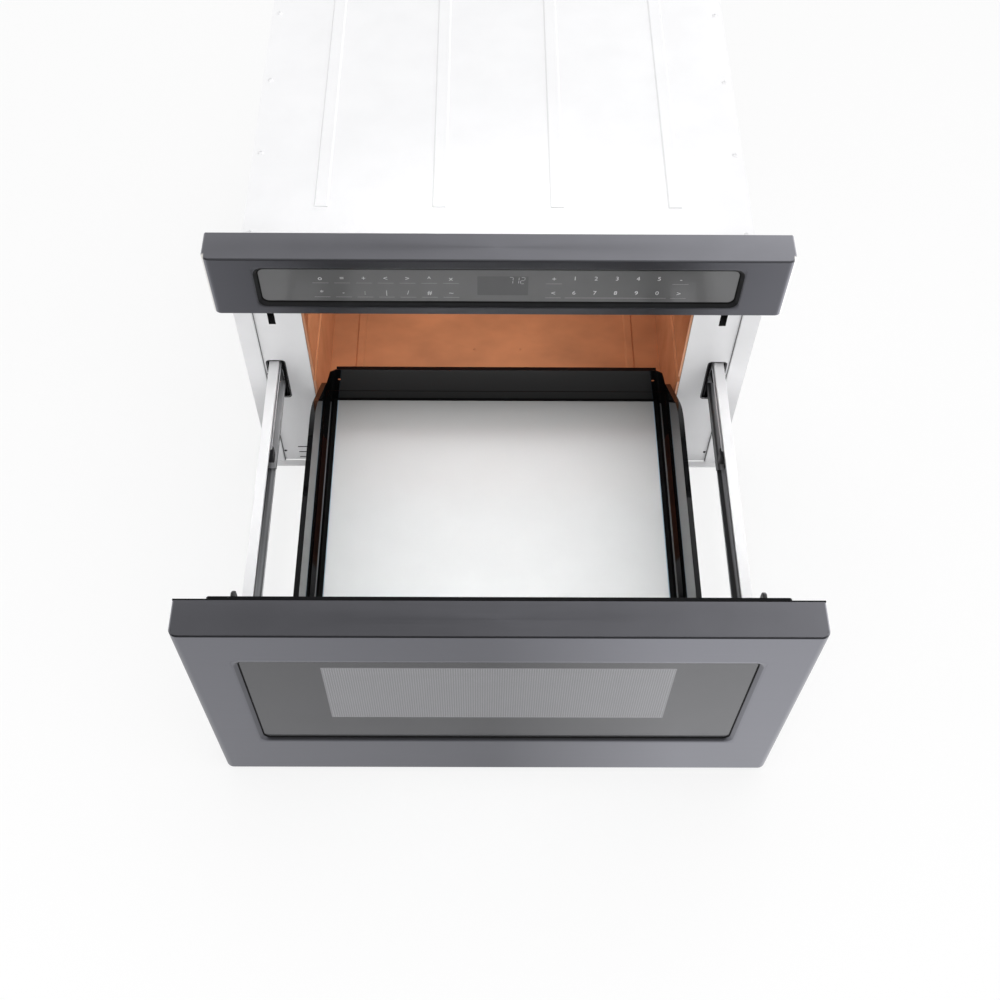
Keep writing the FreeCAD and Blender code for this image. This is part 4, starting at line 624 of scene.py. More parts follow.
@dataclass(frozen=True)
class Banded(Finish):
    """Stacked sheets or wires: fine bands along one axis.

    Attributes:
        axis: 0, 1 or 2 for the axis that the bands follow one another along.
        pitch: from band to band in metres.
        groove: how dark the seams between the bands are.
    """

    axis: int = 1
    pitch: float = 0.0005
    groove: float = 0.55

    def relief(self, graph: ShaderGraph) -> Socket:
        """Rounded bands: zero in the seams and one on the bands."""
        wave = graph.maths("SINE", graph.times(graph.axes()[self.axis], 2 * math.pi / self.pitch))
        return graph.remap(wave, -1.0, 0.2, 0.0, 1.0)

    def paint(self, graph: ShaderGraph, patches: Socket) -> Socket:
        """Colour, darker in the seams."""
        seam = tinted(self.colour, self.groove)
        return graph.blend(self.relief(graph), seam, super().paint(graph, patches))


@dataclass(frozen=True)
class Board(Finish):
    """A printed board: green up to its face, and what stands on it in another colour.

    Attributes:
        face: height of the board's upper face.
        tracks: cells per metre between the tracks, along each axis.
        track_colour: colour of the tracks.
        part_colour: colour of what stands on the board.
    """

    face: float = 0.0
    tracks: Point = (90.0, 260.0, 1.0)
    track_colour: Colour = (0.10, 0.34, 0.16)
    part_colour: Colour = (0.03, 0.03, 0.035)

    def paint(self, graph: ShaderGraph, patches: Socket) -> Socket:
        """Green below the face, with pale tracks, and dark above."""
        cells = graph.add("ShaderNodeTexVoronoi", {"Vector": graph.stretched(self.tracks), "Scale": 1.0},
                          feature="DISTANCE_TO_EDGE").outputs["Distance"]
        green = graph.blend(graph.remap(cells, 0.04, 0.07, 1.0, 0.0), super().paint(graph, patches),
                            self.track_colour)
        above = graph.remap(graph.axes()[2], self.face + 0.05 * MM, self.face + 0.10 * MM, 0.0, 1.0)
        return graph.blend(above, green, self.part_colour)


class Slot(Enum):
    """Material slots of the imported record."""

    WHITE_STEEL = "white_steel"
    GALVANISED = "galvanised"
    FRONT_STEEL = "front_steel"
    BEVEL_BLACK = "bevel_black"
    DARK_GLASS = "dark_glass"
    BLACK_PLASTIC = "black_plastic"
    LINER_BLACK = "liner_black"
    COPPER_ENAMEL = "copper_enamel"
    TRAY_ENAMEL = "tray_enamel"
    OVEN_GLASS = "oven_glass"
    GASKET = "gasket"
    ZINC_STEEL = "zinc_steel"
    BALL_STEEL = "ball_steel"
    HOOK_BLACK = "hook_black"
    LENS_CLEAR = "lens_clear"
    MICA = "mica"
    CORE_STEEL = "core_steel"
    WINDING = "winding"
    ALUMINIUM = "aluminium"
    BOARD_GREEN = "board_green"
    GEAR_PLASTIC = "gear_plastic"


FINISHES: dict[Slot, Finish] = {
    Slot.WHITE_STEEL: Finish("white_paint", (0.80, 0.80, 0.81), 0.34, coat=0.25, coat_rough=0.2, drift=0.015,
                             grain=(1400.0, 1400.0, 1400.0), depth=0.000006),
    Slot.GALVANISED: Finish("galvanised_sheet", (0.60, 0.61, 0.62), 0.42, metallic=0.9, drift=0.10,
                            rough_drift=0.10, mottle=(120.0, 120.0, 120.0), depth=0.000006),
    Slot.FRONT_STEEL: Brushed("dark_steel", (0.186, 0.187, 0.205), 0.34, metallic=1.0, drift=0.03,
                              depth=0.0000006, streak=0.025),
    Slot.BEVEL_BLACK: Finish("black_frame", (0.012, 0.012, 0.013), 0.38, specular=0.12, drift=0.1,
                             depth=0.000002),
    Slot.BLACK_PLASTIC: Finish("black_moulding", (0.030, 0.030, 0.032), 0.48, drift=0.12,
                               grain=(2200.0, 2200.0, 2200.0), depth=0.00002),
    Slot.LINER_BLACK: Finish("liner_paint", (0.006, 0.006, 0.0065), 0.36, specular=0.06, drift=0.1,
                             grain=(1300.0, 1300.0, 1300.0), depth=0.000008),
    # the cavity enamel's strong mottle is random tone and partly a painted reflection of cloudy light
    Slot.COPPER_ENAMEL: Finish("cavity_enamel", (0.57, 0.250, 0.120), 0.34, metallic=0.30, coat=0.6,
                               coat_rough=0.22, drift=0.13, mottle=(16.0, 24.0, 16.0),
                               grain=(1700.0, 1700.0, 1700.0)),
    Slot.TRAY_ENAMEL: Drafted("black_enamel", (0.003, 0.003, 0.0032), 0.05, specular=0.42, drift=0.12,
                              rough_drift=0.01, depth=0.0000004),
    # the floor glass is painted darker towards its rear, a painted shade
    Slot.OVEN_GLASS: EdgedGlass("floor_glass", (0.92, 0.935, 0.935), 0.12, coat=0.3, coat_rough=0.05,
                                drift=0.02, depth=0.000001, edge_colour=(0.42, 0.55, 0.66), rear_tone=0.48),
    Slot.DARK_GLASS: Finish("smoked_glass", (0.06, 0.06, 0.063), 0.12, coat=0.3, coat_rough=0.04, drift=0.03,
                            depth=0.000001),
    Slot.GASKET: Finish("seal_rubber", (0.005, 0.005, 0.005), 0.6, specular=0.08, drift=0.15, depth=0.00002),
    Slot.ZINC_STEEL: Drawn("zinc_plate", (0.66, 0.67, 0.69), 0.34, metallic=0.25, mottle=(60.0, 20.0, 60.0),
                           grain=(1800.0, 60.0, 1800.0), depth=0.000004),
    Slot.BALL_STEEL: Finish("bearing_steel", (0.74, 0.74, 0.75), 0.09, metallic=1.0, drift=0.02,
                            rough_drift=0.02, depth=0.000001),
    Slot.HOOK_BLACK: Finish("hook_moulding", (0.016, 0.016, 0.017), 0.40, drift=0.1),
    Slot.LENS_CLEAR: Finish("lamp_glass", (0.72, 0.70, 0.62), 0.2, coat=0.5, drift=0.04, depth=0.00003),
    Slot.MICA: Finish("mica_sheet", (0.55, 0.49, 0.38), 0.35, coat=0.2, drift=0.14, mottle=(70.0, 70.0, 70.0),
                      depth=0.00003),
    Slot.CORE_STEEL: Banded("laminations", (0.10, 0.10, 0.105), 0.45, metallic=0.5, drift=0.1, depth=0.00012,
                            axis=1, pitch=0.001),
    Slot.WINDING: Banded("copper_wire", (0.52, 0.20, 0.07), 0.28, metallic=0.7, coat=0.5, drift=0.08,
                         depth=0.0003, axis=2, pitch=0.0014),
    Slot.ALUMINIUM: Finish("plain_aluminium", (0.70, 0.71, 0.72), 0.32, metallic=1.0,
                           mottle=(80.0, 80.0, 30.0), depth=0.000006),
    Slot.BOARD_GREEN: Board("printed_board", (0.030, 0.16, 0.06), 0.35, coat=0.3, drift=0.1, depth=0.00003),
    Slot.GEAR_PLASTIC: Finish("acetal", (0.74, 0.74, 0.69), 0.40, drift=0.03),
}


# ---- shared shapes -------------------------------------------------------------
def linked(name: str, data: Any) -> Thing:
    """A new object in the scene, at the origin."""
    thing = bpy.data.objects.new(name, data)
    bpy.context.scene.collection.objects.link(thing)
    return thing


def evaluated(thing: Thing) -> bpy.types.Mesh:
    """Turn an object into its final mesh and remove it.

    Args:
        thing: the object, in the scene.

    Returns:
        The mesh that it comes out as.
    """
    graph = bpy.context.evaluated_depsgraph_get()
    mesh = bpy.data.meshes.new_from_object(thing.evaluated_get(graph), depsgraph=graph)
    bpy.data.objects.remove(thing)
    return mesh


def new_piece(name: str, mesh: bpy.types.Mesh, material: bpy.types.Material) -> Thing:
    """Put a mesh in the scene as an object with one material.

    Args:
        name: name of the piece.
        mesh: its mesh, with its place in it.
        material: its finish.

    Returns:
        The object, at the origin.
    """
    mesh.materials.clear()
    mesh.materials.append(material)
    return linked(name, mesh)


def smoothed(piece: Thing, sharp: float) -> None:
    """Shade a piece smooth, apart from edges that turn by more than an angle in degrees."""
    piece.data.polygons.foreach_set("use_smooth", [True] * len(piece.data.polygons))
    piece.data.set_sharp_from_angle(angle=math.radians(sharp))


def settle(piece: Thing, body: str) -> Thing:
    """Let a finished piece ride on a body and report it.

    Args:
        piece: the piece.
        body: the body that carries it.

    Returns:
        The same piece.
    """
    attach(piece, body)
    LOG.info("%s rides on %s, %d faces", piece.name, body, len(piece.data.polygons))
    return piece


def solid_from(rings: Sequence[Sequence[Point]], name: str, looped: bool = False) -> bpy.types.Mesh:
    """Skin a closed body over rings of equally many points.

    Args:
        rings: the rings in order.
        name: name of the mesh.
        looped: whether the last ring joins the first; otherwise both ends are capped.

    Returns:
        The mesh, its faces outwards.
    """
    count = len(rings[0])
    points = [p for ring in rings for p in ring]
    faces = []
    for i in range(len(rings) - (not looped)):
        a = i * count
        b = (a + count) % len(points)
        for j in range(count):
            k = (j + 1) % count
            faces.append((a + j, a + k, b + k, b + j))
    if not looped:
        faces.append(tuple(range(count))[::-1])
        faces.append(tuple(range(len(points) - count, len(points))))
    mesh = bpy.data.meshes.new(name)
    mesh.from_pydata(points, [], faces)
    shape = bmesh.new()
    shape.from_mesh(mesh)
    bmesh.ops.recalc_face_normals(shape, faces=shape.faces)
    shape.to_mesh(mesh)
    shape.free()
    return mesh


def edging(name: str, low: Point, high: Point, sections: Sequence[Point], steps: int) -> bpy.types.Mesh:
    """A closed ring swept round a rounded opening in an upright face.

    Args:
        name: name of the mesh.
        low: lowest X and Z of the opening, with the face's Y.
        high: its highest X and Z.
        sections: for each edge of the ring, how far it lies inside the opening and behind the face and
            its corner radius, all in millimetres.
        steps: stretches in each corner.

    Returns:
        The ring's mesh.
    """
    rings = []
    for inset, depth, radius in sections:
        inset, depth, radius = inset * MM, depth * MM, radius * MM
        right, left = high[0] - inset - radius, low[0] + inset + radius
        top, bottom = high[2] - inset - radius, low[2] + inset + radius
        ring = []
        for quarter, (x, z) in enumerate(((right, top), (left, top), (left, bottom), (right, bottom))):
            for step in range(steps + 1):
                angle = math.pi / 2 * (quarter + step / steps)
                ring.append((x + radius * math.cos(angle), low[1] + depth, z + radius * math.sin(angle)))
        rings.append(ring)
    return solid_from(rings, name, looped=True)


@dataclass
class Model:
    """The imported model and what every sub-assembly needs of it.

    Attributes:
        nodes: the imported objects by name.
        slots: each node's material slot.
    """

    nodes: dict[str, Thing]
    slots: dict[str, Slot]

    @classmethod
    def from_frame(cls, frame: dict[str, Any]) -> "Model":
        """Read nodes and their slots from the loaded frame."""
        return cls(frame["nodes"], {part["node"]: Slot(part["material_slot"])
                                    for part in frame["record"]["subparts"]})

    def box(self, node: str) -> tuple[Vector, Vector]:
        """Lowest and highest corner of a node."""
        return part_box(node)

    def dress(self, *nodes: str, finish: Finish | None = None) -> None:
        """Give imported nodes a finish.

        Args:
            nodes: names of the nodes.
            finish: the finish, where their slots' own isn't used.
        """
        for node in nodes:
            mesh = self.nodes[node].data
            mesh.materials.clear()
            mesh.materials.append((finish or FINISHES[self.slots[node]]).material())

    def softened(self, node: str, width: float, segments: int = 2, finish: Finish | None = None) -> None:
        """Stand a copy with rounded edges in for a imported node.

        Args:
            node: the node to copy.
            width: width of the rounding in metres.
            segments: faces across the rounding.
            finish: the finish, where the slot's own isn't used.
        """
        source = self.nodes[node]
        shape = bmesh.new()
        shape.from_mesh(source.data)
        bmesh.ops.remove_doubles(shape, verts=shape.verts, dist=2e-6)
        bmesh.ops.dissolve_limit(shape, angle_limit=math.radians(0.5), verts=shape.verts, edges=shape.edges)
        sharp = math.radians(24.0)
        edges = [e for e in shape.edges if len(e.link_faces) == 2 and e.calc_face_angle(0.0) > sharp]
        bmesh.ops.bevel(shape, geom=edges, offset=width, offset_type="OFFSET", segments=segments, profile=0.5,
                        affect="EDGES", clamp_overlap=True)
        mesh = bpy.data.meshes.new(node + "_soft")
        shape.to_mesh(mesh)
        shape.free()
        piece = new_piece(node + "_soft", mesh, (finish or FINISHES[self.slots[node]]).material())
        smoothed(piece, 50.0)
        piece.modifiers.new("even", "WEIGHTED_NORMAL").keep_sharp = True
        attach(piece, source["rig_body"])
        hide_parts(node)


@dataclass
class RecessFrame:
    """Rounded frame that leads from a front's face down to its glass.

    Attributes:
        model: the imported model.
        node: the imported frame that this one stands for.
        seat: how far that frame reaches behind the skin.
        sink: how far it lies behind the face.
        hole: corner radius of the opening in the skin, in millimetres.
        outer: corner radius where the slope starts, in millimetres.
        inner: corner radius at the glass, in millimetres.
    """

    model: Model
    node: str
    seat: float = 4.0 * MM
    sink: float = 0.3 * MM
    hole: float = 4.0
    outer: float = 10.0
    inner: float = 7.0

    def piece(self, part: str, sections: Sequence[Point], finish: Finish, slot: Slot) -> Thing:
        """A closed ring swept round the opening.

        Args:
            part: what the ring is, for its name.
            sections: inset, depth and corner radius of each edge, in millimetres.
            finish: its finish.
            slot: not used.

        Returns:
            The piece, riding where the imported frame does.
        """
        low, high = self.model.box(self.node)
        name = self.node + part
        ring = new_piece(name, edging(name, (low.x + self.seat, low.y - self.sink, low.z + self.seat),
                                      (high.x - self.seat, high.y, high.z - self.seat), sections, 8),
                         finish.material())
        smoothed(ring, 30.0)
        return settle(ring, self.model.nodes[self.node]["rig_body"])

    def build(self, steel: Finish, bevel: Finish, bevel_slot: Slot) -> None:
        """Set the flat corner rim, the slope and the seal line at the glass.

        Args:
            steel: finish of the front's skin.
            bevel: finish of the slope.
            bevel_slot: material slot of the slope.
        """
        hole, outer, inner = self.hole, self.outer, self.inner
        rim = ((0.03, 0.05, hole), (1.3, 0.05, outer), (1.7, 0.3, outer), (1.7, 1.0, outer),
               (0.03, 1.0, hole))
        slope = ((1.7, 0.3, outer), (2.6, 0.7, outer - 0.7), (5.2, 3.1, inner + 0.5), (6.0, 3.95, inner),
                 (-3.9, 3.95, hole), (-3.9, 1.05, hole), (1.5, 1.05, outer))
        seal = ((5.1, 3.5, inner + 0.6), (5.2, 2.9, inner + 0.6), (6.3, 3.4, inner - 0.2),
                (6.3, 3.98, inner - 0.2), (5.1, 3.98, inner + 0.6))
        self.piece("_rim", rim, steel, Slot.FRONT_STEEL)
        ring = self.piece("_round", slope, bevel, bevel_slot)
        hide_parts(self.node)
        self.piece("_seal", seal, FINISHES[Slot.GASKET], Slot.GASKET)


class Head(Enum):
    """Kinds of small repeated shapes."""

    PAN = "pan head with a cross recess"
    BALL = "bearing ball"


@dataclass
class Fasteners:
    """Screw heads or balls on listed places.

    Attributes:
        head: kind of the shape.
        radius: radius of the shape.
        height: how far a head stands up.
    """

    head: Head
    radius: float
    height: float = 1.2 * MM

    def shape(self, graph: GeometryGraph) -> Socket:
        """One shape on the origin, a head standing up along Z.

        Args:
            graph: the tree that makes it.

        Returns:
            Its geometry.
        """
        radius = graph.size("Radius", self.radius)
        if self.head is Head.BALL:
            return graph.add("GeometryNodeMeshIcoSphere", {"Radius": radius, "Subdivisions": 3}).outputs[0]
        height = graph.size("Height", self.height)
        cone = graph.add("GeometryNodeMeshCone", {"Vertices": 16, "Radius Top": graph.times(radius, 0.62),
                                                  "Radius Bottom": radius, "Depth": height}).outputs[0]
        cut = graph.add("GeometryNodeMeshBoolean", operation="DIFFERENCE", solver="EXACT")
        graph.tree.links.new(cone, cut.inputs[0])
        length, width = graph.times(radius, 1.05), graph.times(radius, 0.22)
        for size in (graph.vector(length, width, height), graph.vector(width, length, height)):
            bar = graph.add("GeometryNodeMeshCube", {"Size": size}).outputs[0]
            graph.tree.links.new(graph.moved(bar, graph.vector(0.0, 0.0, height)), cut.inputs[1])
        return cut.outputs[0]

    def place(self, name: str, body: str, points: PointSet, slot: Slot) -> Thing:
        """Set the shapes and let them ride on a body.

        Args:
            name: name of the piece.
            body: the body that carries it.
            points: where the shapes stand.
            slot: their material slot.

        Returns:
            The piece.
        """
        graph = GeometryGraph(name)
        shape = graph.repeated(self.shape(graph), graph.carrier, graph.facing())
        piece = graph.run(shape, FINISHES[slot].material(), points, name, smooth=self.head is Head.BALL)
        return settle(piece, body)


# ---- sub-assemblies ------------------------------------------------------------
@dataclass
class Assembly:
    """Nodes that belong together, dressed in the finishes of their slots.

    Attributes:
        model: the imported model.
        nodes: the nodes that wear their slot's finish.
    """

    model: Model
    nodes: tuple[str, ...] = ()

    def build(self) -> None:
        """Dress the nodes and set the fittings."""
        self.model.dress(*self.nodes)
        self.fittings()

    def fittings(self) -> None:
        """Room for what a sub-assembly adds."""


@dataclass
class CaseShell(Assembly):
    """Sheet steel case: base, side walls, lid, rear wall, mounting flange and front plate.

    Attributes:
        sheet: thickness of the sheets.
        face_paint: how deep the front plate is white; behind that it is painted shade.
        edge_in: screws from the sheets' edges.
        row: screws in a row of the lid and the rear wall.
        lid_ends: first and last screw of the lid from its front and rear edge.
        rear_end: first and last screw of the rear wall from its sides.
        side_y: screws of the side walls from their front and rear edge.
        side_end: the same from their lower and upper edge.
        screw: screw heads of the sheets.
        plate_screw: small screws of the front plate.
        plate_x: how far these are from the middle.
        plate_z: their heights.
        slot_x: inner and outer edge of the slide slots.
        slot_z: lower and upper edge of the slide slots.
        trim: edges of the black rings round the slots, a painted shade of the gap inside, as inset, depth and
            corner radius in millimetres.
    """

    nodes: tuple[str, ...] = ("cord_gland", "mounting_flange")
    sheet: float = 1.0 * MM
    face_paint: float = 0.3 * MM
    edge_in: float = 9.0 * MM
    row: int = 5
    lid_ends: Span = (30.0 * MM, 12.0 * MM)
    rear_end: float = 14.0 * MM
    side_y: Span = (40.0 * MM, 10.0 * MM)
    side_end: float = 12.0 * MM
    screw: Fasteners = field(default_factory=lambda: Fasteners(Head.PAN, 3.4 * MM, 1.5 * MM))
    plate_screw: Fasteners = field(default_factory=lambda: Fasteners(Head.PAN, 1.9 * MM, 0.8 * MM))
    plate_x: float = 274.6 * MM
    plate_z: tuple[float, ...] = (174.0 * MM, 20.0 * MM, 330.0 * MM)
    slot_x: Span = (253.3 * MM, 273.3 * MM)
    slot_z: Span = (132.0 * MM, 198.0 * MM)
    trim: tuple[Point, ...] = ((-0.05, 0.0, 3.05), (-0.05, -0.12, 3.05), (-1.7, -0.12, 4.7), (-1.7, 0.0, 4.7))

    def fittings(self) -> None:
        """Paint the sheets and set their screws."""
        self.paint_sheets()
        self.case_screws()
        low, _ = self.model.box("front_plate")
        places = lattice((-self.plate_x, self.plate_x), (low.y,), self.plate_z)
        points = PointSet().put(places, (0, -1, 0))
        self.plate_screw.place("plate_screws", "chassis", points, Slot.BLACK_PLASTIC)
        self.slot_trims(low.y - HAIR)

    def paint_sheets(self) -> None:
        """Paint the sheets white outside and in painted shade inside: each with its thin axis, its middle and
        the side that is inside.
        """
        box = self.model.box
        half = self.sheet / 2
        wall = box("side_panels")[1]
        for node, axis, middle, sign in (("side_panels", 0, wall.x - half, -1),
                                         ("top_cover", 2, wall.z + half, -1),
                                         ("back_panel", 1, box("back_panel")[1].y - half, -1),
                                         ("base_pan", 2, box("base_pan")[0].z + half, 1),
                                         ("front_plate", 1, box("front_plate")[0].y + self.face_paint, 1)):
            # white paint outside, painted shade on the inner side
            paint = remade(InnerShadedSheet, FINISHES[Slot.WHITE_STEEL], name=node + "_paint", axis=axis,
                           inner_from=middle, inner_sign=sign)
            self.model.dress(node, finish=paint)

    def case_screws(self) -> None:
        """Screws along the edges of lid, rear wall and side walls."""
        edge = self.edge_in
        points = PointSet()
        side_low, side_high = self.model.box("side_panels")
        low, high = self.model.box("top_cover")
        rows = spread(low.y + self.lid_ends[0], high.y - self.lid_ends[1], self.row)
        points.put(lattice((low.x + edge, high.x - edge), rows, (side_high.z + self.sheet,)), (0, 0, 1))
        low, high = self.model.box("back_panel")
        middle = (low.z + high.z) / 2
        points.put(lattice(spread(low.x + self.rear_end, high.x - self.rear_end, self.row), (high.y,),
                           (low.z + edge, high.z - edge)), (0, 1, 0))
        points.put(lattice((low.x + edge, high.x - edge), (high.y,), (middle,)), (0, 1, 0))
        heights = (side_low.z + self.side_end, middle, side_high.z - self.side_end)
        for x, facing in ((side_low.x, -1), (side_high.x, 1)):
            points.put(lattice((x,), (side_low.y + self.side_y[0], side_high.y - self.side_y[1]), heights),
                       (facing, 0, 0))
        self.screw.place("case_screws", "chassis", points, Slot.WHITE_STEEL)

    def slot_trims(self, y: float) -> None:
        """Thin black rings round the two slots that the slides run through, painted shade of the dark gap
        inside the slots.

        Args:
            y: where the edging starts on the front plate.
        """
        for side, sign in (("left", -1), ("right", 1)):
            low_x, high_x = sorted(sign * x for x in self.slot_x)
            name = "slot_trim_" + side
            # black rings that stand for the shade in the slots' gap
            mesh = edging(name, (low_x, y, self.slot_z[0]), (high_x, y, self.slot_z[1]), self.trim, 6)
            settle(new_piece(name, mesh, FINISHES[Slot.HOOK_BLACK].material()), "chassis")


@dataclass
class OvenCavity(Assembly):
    """Copper coloured cavity with the lamp, the stirrer and the parts that make and lead the microwaves.

    Attributes:
        board_rise: the power board's upper face over its posts' feet.
        floor_screws: X and Y of the two screws in the cavity floor.
        floor: height of that floor.
        shroud_in: screws of the fan's frame from its edges.
        ear_in: screws of the stirrer's motor from its ends.
        ear_up: these screws over the motor's lower face.
    """

    nodes: tuple[str, ...] = ("oven_cavity", "oven_lamp", "stirrer_cover", "waveguide", "magnetron",
                              "stirrer", "stirrer_motor", "transformer_core", "transformer_windings",
                              "capacitor", "fan_shroud", "fan_motor", "fan_rotor")
    board_rise: float = 9.6 * MM
    floor_screws: tuple[Span, ...] = ((-28 * MM, -124.5 * MM), (33 * MM, -124.5 * MM))
    floor: float = 51.0 * MM
    shroud_in: float = 7.0 * MM
    ear_in: float = 4.0 * MM
    ear_up: float = 1.5 * MM

    def fittings(self) -> None:
        """Dress the power board and set the screws of floor, fan and stirrer motor."""
        face = self.model.box("power_board")[0].z + self.board_rise
        self.model.dress("power_board", finish=replace(FINISHES[Slot.BOARD_GREEN], face=face))
        points = PointSet().put([(x, y, self.floor) for x, y in self.floor_screws], (0, 0, 1))
        Fasteners(Head.PAN, 2.3 * MM, 0.9 * MM).place("floor_screws", "chassis", points, Slot.COPPER_ENAMEL)
        low, high = self.model.box("fan_shroud")
        inset = self.shroud_in
        points = PointSet().put(lattice((low.x + inset, high.x - inset), (low.y,),
                                        (low.z + inset, high.z - inset)), (0, -1, 0))
        low, high = self.model.box("stirrer_motor")
        ears = lattice((low.x + self.ear_in, high.x - self.ear_in), (0.0,), (low.z + self.ear_up,))
        points.put(ears, (0, 0, 1))
        Fasteners(Head.PAN, 2.4 * MM).place("inner_screws", "chassis", points, Slot.ZINC_STEEL)


@dataclass
class ControlPanel(Assembly):
    """Control bezel with its glass, display, key marks and digits.

    Attributes:
        keys_x: X of the first and last key column on the left.
        end_x: X of the two keys at the ends of the digits.
        rule_z: heights of the two rows of key marks.
        rule_size: width and thickness of the line under a key.
        digit_rule: X of the middle and length of the line under the digits.
        digit_x: X of the first and last digit.
        digit_z: heights of the two rows of digits.
        digit_size: size of the digits.
        signs: the signs of the two rows on the left.
        sign_z: heights of the two rows of signs.
        sign_size: size of the signs.
        display_x: limits of the display across.
        display_z: limits of the display upwards.
        clock_at: X and Z of the clock's lower left corner.
        clock_size: width and height of its digits.
        clock_pitch: from digit to digit.
        clock_bar: thickness of a bar.
        clock_gap: gap at each end of a bar.
        clock_lean: how far the digits lean, as a slope.
    """

    nodes: tuple[str, ...] = ("control_housing",)
    keys_x: Span = (-187.7 * MM, -50.3 * MM)
    end_x: Span = (58.0 * MM, 191.5 * MM)
    rule_z: Span = (371.9 * MM, 351.0 * MM)
    rule_size: Span = (16.8 * MM, 0.45 * MM)
    digit_rule: Span = (124.8 * MM, 108.0 * MM)
    digit_x: Span = (80.0 * MM, 168.4 * MM)
    digit_z: Span = (379.6 * MM, 358.4 * MM)
    digit_size: float = 7.8 * MM
    signs: tuple[str, str] = ("o=+<>^x", "*-:|/#~")
    sign_z: Span = (378.6 * MM, 357.6 * MM)
    sign_size: float = 8.6 * MM
    display_x: Span = (-22.6 * MM, 31.2 * MM)
    display_z: Span = (354.6 * MM, 382.5 * MM)
    clock_at: Span = (10.4 * MM, 371.8 * MM)
    clock_size: Span = (4.2 * MM, 9.4 * MM)
    clock_pitch: float = 6.2 * MM
    clock_bar: float = 0.55 * MM
    clock_gap: float = 0.5 * MM
    clock_lean: float = 0.06

    def fittings(self) -> None:
        """Finish the bezel and print its marks."""
        low, high = self.model.box("control_bezel")
        # painted light on the bezel's steel: a painted reflection graded across the face and a painted
        # highlight where it turns into the sides
        reflection_graded = remade(ShadedSteel, FINISHES[Slot.FRONT_STEEL], name="bezel_steel", half=high.x,
                        face_y=low.y + FACE_DEPTH, tones=(0.66, 0.45, 0.62), fold=(0.78, 0.76, 0.72))
        self.model.softened("control_bezel", SKIN_EDGE, finish=reflection_graded)
        RecessFrame(self.model, "bezel_bevel").build(reflection_graded, FINISHES[Slot.BEVEL_BLACK], Slot.BEVEL_BLACK)
        glass = ZonedGlass("panel_glass", (0.095, 0.095, 0.096), 0.16, zone_colour=(0.060, 0.060, 0.062),
                           zone_x=self.display_x, zone_z=self.display_z)
        self.model.dress("control_glass", finish=glass)
        self.rules()
        self.legends("key_digits", ("12345", "67890"), self.digit_x, self.digit_z, self.digit_size)
        self.legends("key_signs", self.signs, self.keys_x, self.sign_z, self.sign_size)
        self.legends("end_signs", ("+-", "<>"), self.end_x, self.sign_z, self.sign_size)
        self.clock()

    @property
    def plane(self) -> float:
        """Y of the printed marks."""
        return self.model.box("control_glass")[0].y - HAIR

    def ink(self, name: str, level: float) -> bpy.types.Material:
        """Pale print on the glass."""
        return Finish(name, (level, level, level), 0.5, drift=0.04, depth=0.000001).material()

    def rules(self) -> None:
        """Thin lines under the keys."""
        columns = spread(*self.keys_x, len(self.signs[0])) + list(self.end_x)
        single = lattice(columns, (self.plane,), self.rule_z)
        middle, length = self.digit_rule
        for name, places, width in (("key_rules", single, self.rule_size[0]),
                                    ("digit_rule", [(middle, self.plane, self.rule_z[1])], length)):
            graph = GeometryGraph(name)
            bar = graph.add("GeometryNodeMeshGrid", {"Size X": graph.size("Width", width),
                                                     "Size Y": graph.size("Thickness", self.rule_size[1]),
                                                     "Vertices X": 2, "Vertices Y": 2}).outputs[0]
            shape = graph.repeated(graph.moved(bar, turn=(math.pi / 2, 0, 0)), graph.carrier)
            piece = graph.run(shape, self.ink("key_ink", 0.24), PointSet().put(places, (0, -1, 0)), name)
            settle(piece, "chassis")

    def legends(self, name: str, rows: Sequence[str], span: Span, heights: Span, size: float) -> None:
        """Plain digits or signs in rows.

        Args:
            name: name of the piece.
            rows: the characters of each row.
            span: X of the first and the last one.
            heights: height of each row.
            size: size of the characters.
        """
        shape = bmesh.new()
        for row, height in zip(rows, heights):
            for x, text in zip(spread(*span, len(row)), row):
                shape.from_mesh(self.lettered(text, x, height, size))
        mesh = bpy.data.meshes.new(name)
        shape.to_mesh(mesh)
        shape.free()
        settle(new_piece(name, mesh, self.ink("digit_ink", 0.52)), "chassis")

    def lettered(self, text: str, x: float, z: float, size: float) -> bpy.types.Mesh:
        """A digit or sign, centred on a place of the glass.

        Args:
            text: the character.
            x: its place across.
            z: its height on the object.
            size: its size.

        Returns:
            Its mesh.
        """
        curve = bpy.data.curves.new("digit", "FONT")
        curve.body = text
        curve.size = size
        curve.align_x = curve.align_y = "CENTER"
        curve.resolution_u = 3
        mesh = evaluated(linked("digit", curve))
        mesh.transform(Matrix.Translation((x, self.plane, z)) @ Matrix.Rotation(math.pi / 2, 4, "X"))
        return mesh

    def clock(self) -> None:
        """Three dim digits of up to seven bars at the display's right end."""
        width, height = self.clock_size
        half, gap = self.clock_bar / 2, self.clock_gap
        middle = height / 2
        spans = {"a": (0, height, width, height), "b": (width, middle, width, height),
                 "c": (width, 0, width, middle), "d": (0, 0, width, 0), "e": (0, 0, 0, middle),
                 "g": (0, middle, width, middle)}
        points: list[Point] = []
        for i, bars in enumerate(("abc", "bc", "abged")):
            for xa, za, xb, zb in (spans[bar] for bar in bars):
                dx, dz = (half, -gap) if xa == xb else (-gap, half)
                for x, z in ((xa - dx, za - dz), (xb + dx, za - dz), (xb + dx, zb + dz), (xa - dx, zb + dz)):
                    points.append((self.clock_at[0] + i * self.clock_pitch + x + self.clock_lean * z,
                                   self.plane, self.clock_at[1] + z))
        mesh = bpy.data.meshes.new("clock_bars")
        mesh.from_pydata(points, [], [tuple(range(i, i + 4)) for i in range(0, len(points), 4)])
        settle(new_piece("clock_bars", mesh, self.ink("clock_ink", 0.40)), "chassis")


